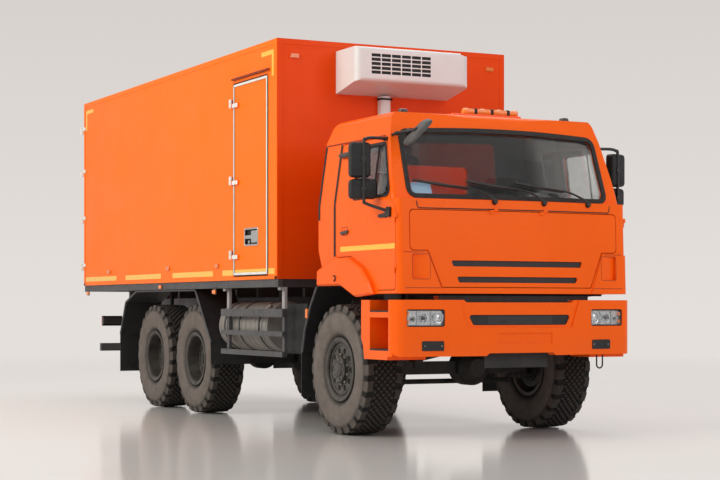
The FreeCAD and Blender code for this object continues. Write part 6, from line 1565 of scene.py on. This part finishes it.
class TRUCK_OT_stage(bpy.types.Operator):
    """Floor, light and camera."""
    bl_idname = "truck.stage"
    bl_label = "Stage"

    def execute(self, context):
        settings = context.scene.truck_stage
        made, tree, output = new_material("pale_studio_floor")
        place = node(tree, "ShaderNodeTexCoord").outputs["Object"]
        shade = mix(tree, noise(tree, place, 2400.0).outputs["Fac"], linear("#DEDAD6"),
                    linear("#E4E0DC"))
        shader = node(tree, "ShaderNodeBsdfPrincipled", {"Roughness": 0.12, "Specular IOR Level": 0.55},
                      {"Base Color": shade})
        far = node(tree, "ShaderNodeVectorMath", {"operation": "LENGTH"}, {0: place}).outputs["Value"]
        fade = spread(tree, far, 9.0, 24.0)
        glow = node(tree, "ShaderNodeEmission", {"Color": (*linear("#E4DFDB"), 1)})
        both = node(tree, "ShaderNodeMixShader", None,
                    {0: fade, 1: shader.outputs[0], 2: glow.outputs[0]})
        tree.links.new(both.outputs[0], output.inputs[0])
        disc = Surfaces().lathed(lathe([(0, 0), (settings.floor_radius * 0.1, 0),
                                        (settings.floor_radius * 0.4, 0),
                                     (settings.floor_radius, 0)], (0, 0, 0), (0, 0, 1), 96))
        floor = piece("studio_floor", disc, None, None, made)
        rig.stage(floor)
        world = bpy.data.worlds.new("studio_world")
        context.scene.world = world
        world.use_nodes = True
        tree = world.node_tree
        tree.nodes.clear()
        output = node(tree, "ShaderNodeOutputWorld")
        path = node(tree, "ShaderNodeLightPath")
        seen = path.outputs["Is Camera Ray"]
        for ray in ("Is Glossy Ray", "Is Transmission Ray"):
            seen = node(tree, "ShaderNodeMath", {"operation": "MAXIMUM"},
                        {0: seen, 1: path.outputs[ray]}).outputs[0]
        light = node(tree, "ShaderNodeBackground", {"Color": (*linear("#F4F6FA"), 1), "Strength": 0.62})
        way = node(tree, "ShaderNodeTexCoord").outputs["Generated"]
        rise = node(tree, "ShaderNodeSeparateXYZ", None, {"Vector": way}).outputs["Z"]
        wall = mix(tree, spread(tree, rise, 0.0, 0.30), linear("#E4DFDB"), linear("#CDC7C2"))
        back = node(tree, "ShaderNodeBackground", {"Strength": 1.0}, {"Color": wall})
        both = node(tree, "ShaderNodeMixShader", None,
                    {0: seen, 1: light.outputs[0], 2: back.outputs[0]})
        tree.links.new(both.outputs[0], output.inputs[0])
        for name, place, energy, size, tint in (
            ("key_softbox", (3.0, -15.0, 10.0), 1700.0, 9.0, (1.0, 0.95, 0.84)),
            ("front_softbox", (16.0, 5.0, 8.0), 480.0, 7.0, (1.0, 0.96, 0.98)),
            ("top_softbox", (-2.0, 2.0, 13.0), 700.0, 11.0, (1.0, 1.0, 1.0)),
        ):
            lamp = bpy.data.lights.new(name, "AREA")
            lamp.energy, lamp.shape, lamp.size, lamp.color = energy, "SQUARE", size, tint
            holder = bpy.data.objects.new(name, lamp)
            holder.location = place
            holder.rotation_mode = "QUATERNION"
            holder.rotation_quaternion = (Vector((0, 0, 1.5)) - Vector(place)).to_track_quat("-Z", "Y")
            context.scene.collection.objects.link(holder)
        camera = bpy.data.cameras.new("photo_camera")
        camera.lens, camera.sensor_width, camera.shift_y = settings.lens, 36.0, settings.rise
        holder = bpy.data.objects.new("photo_camera", camera)
        holder.location = at(settings.camera_ahead, -settings.camera_right, settings.camera_height)
        holder.rotation_mode = "QUATERNION"
        heading = Vector((math.cos(settings.camera_yaw), math.sin(settings.camera_yaw), 0))
        holder.rotation_quaternion = heading.to_track_quat("-Z", "Y")
        context.scene.collection.objects.link(holder)
        context.scene.camera = holder
        context.scene.view_settings.view_transform = "Standard"
        return {"FINISHED"}


OPERATORS = (
    TRUCK_OT_finishes, TRUCK_OT_tyres, TRUCK_OT_wheels, TRUCK_OT_box_marks, TRUCK_OT_side_door,
    TRUCK_OT_rear_doors, TRUCK_OT_cooling_unit, TRUCK_OT_cab_trim, TRUCK_OT_mirrors, TRUCK_OT_headlamps,
    TRUCK_OT_small_parts, TRUCK_OT_wipers, TRUCK_OT_kerb_mirror, TRUCK_OT_beacons, TRUCK_OT_seats,
    TRUCK_OT_stage,
)


class TRUCK_PT_looks(bpy.types.Panel):
    """The truck's pieces in the 3D view's sidebar."""
    bl_label = "Refrigerated truck"
    bl_space_type = "VIEW_3D"
    bl_region_type = "UI"
    bl_category = "Truck"

    def draw(self, context):
        for name, group in GROUPS.items():
            column = self.layout.column(heading=group.__doc__)
            for key in group.__annotations__:
                column.prop(getattr(context.scene, name), key)
        for operator in OPERATORS:
            self.layout.operator(operator.bl_idname)


def register():
    for cls in (*GROUPS.values(), *OPERATORS, TRUCK_PT_looks):
        bpy.utils.register_class(cls)
    for name, group in GROUPS.items():
        setattr(bpy.types.Scene, name, PointerProperty(type=group))


def unregister():
    for name in GROUPS:
        delattr(bpy.types.Scene, name)
    for cls in (TRUCK_PT_looks, *reversed(OPERATORS), *reversed(GROUPS.values())):
        bpy.utils.unregister_class(cls)


def main():
    """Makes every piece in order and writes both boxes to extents.json."""
    register()
    for operator in OPERATORS:
        group, name = operator.bl_idname.split(".")
        getattr(getattr(bpy.ops, group), name)()
    sizes = {"cad": CAD_BOX, "visual": [list(corner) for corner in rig.bounds()]}
    with open("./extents.json", "w") as out:
        json.dump(sizes, out)


if __name__ == "__main__":
    main()
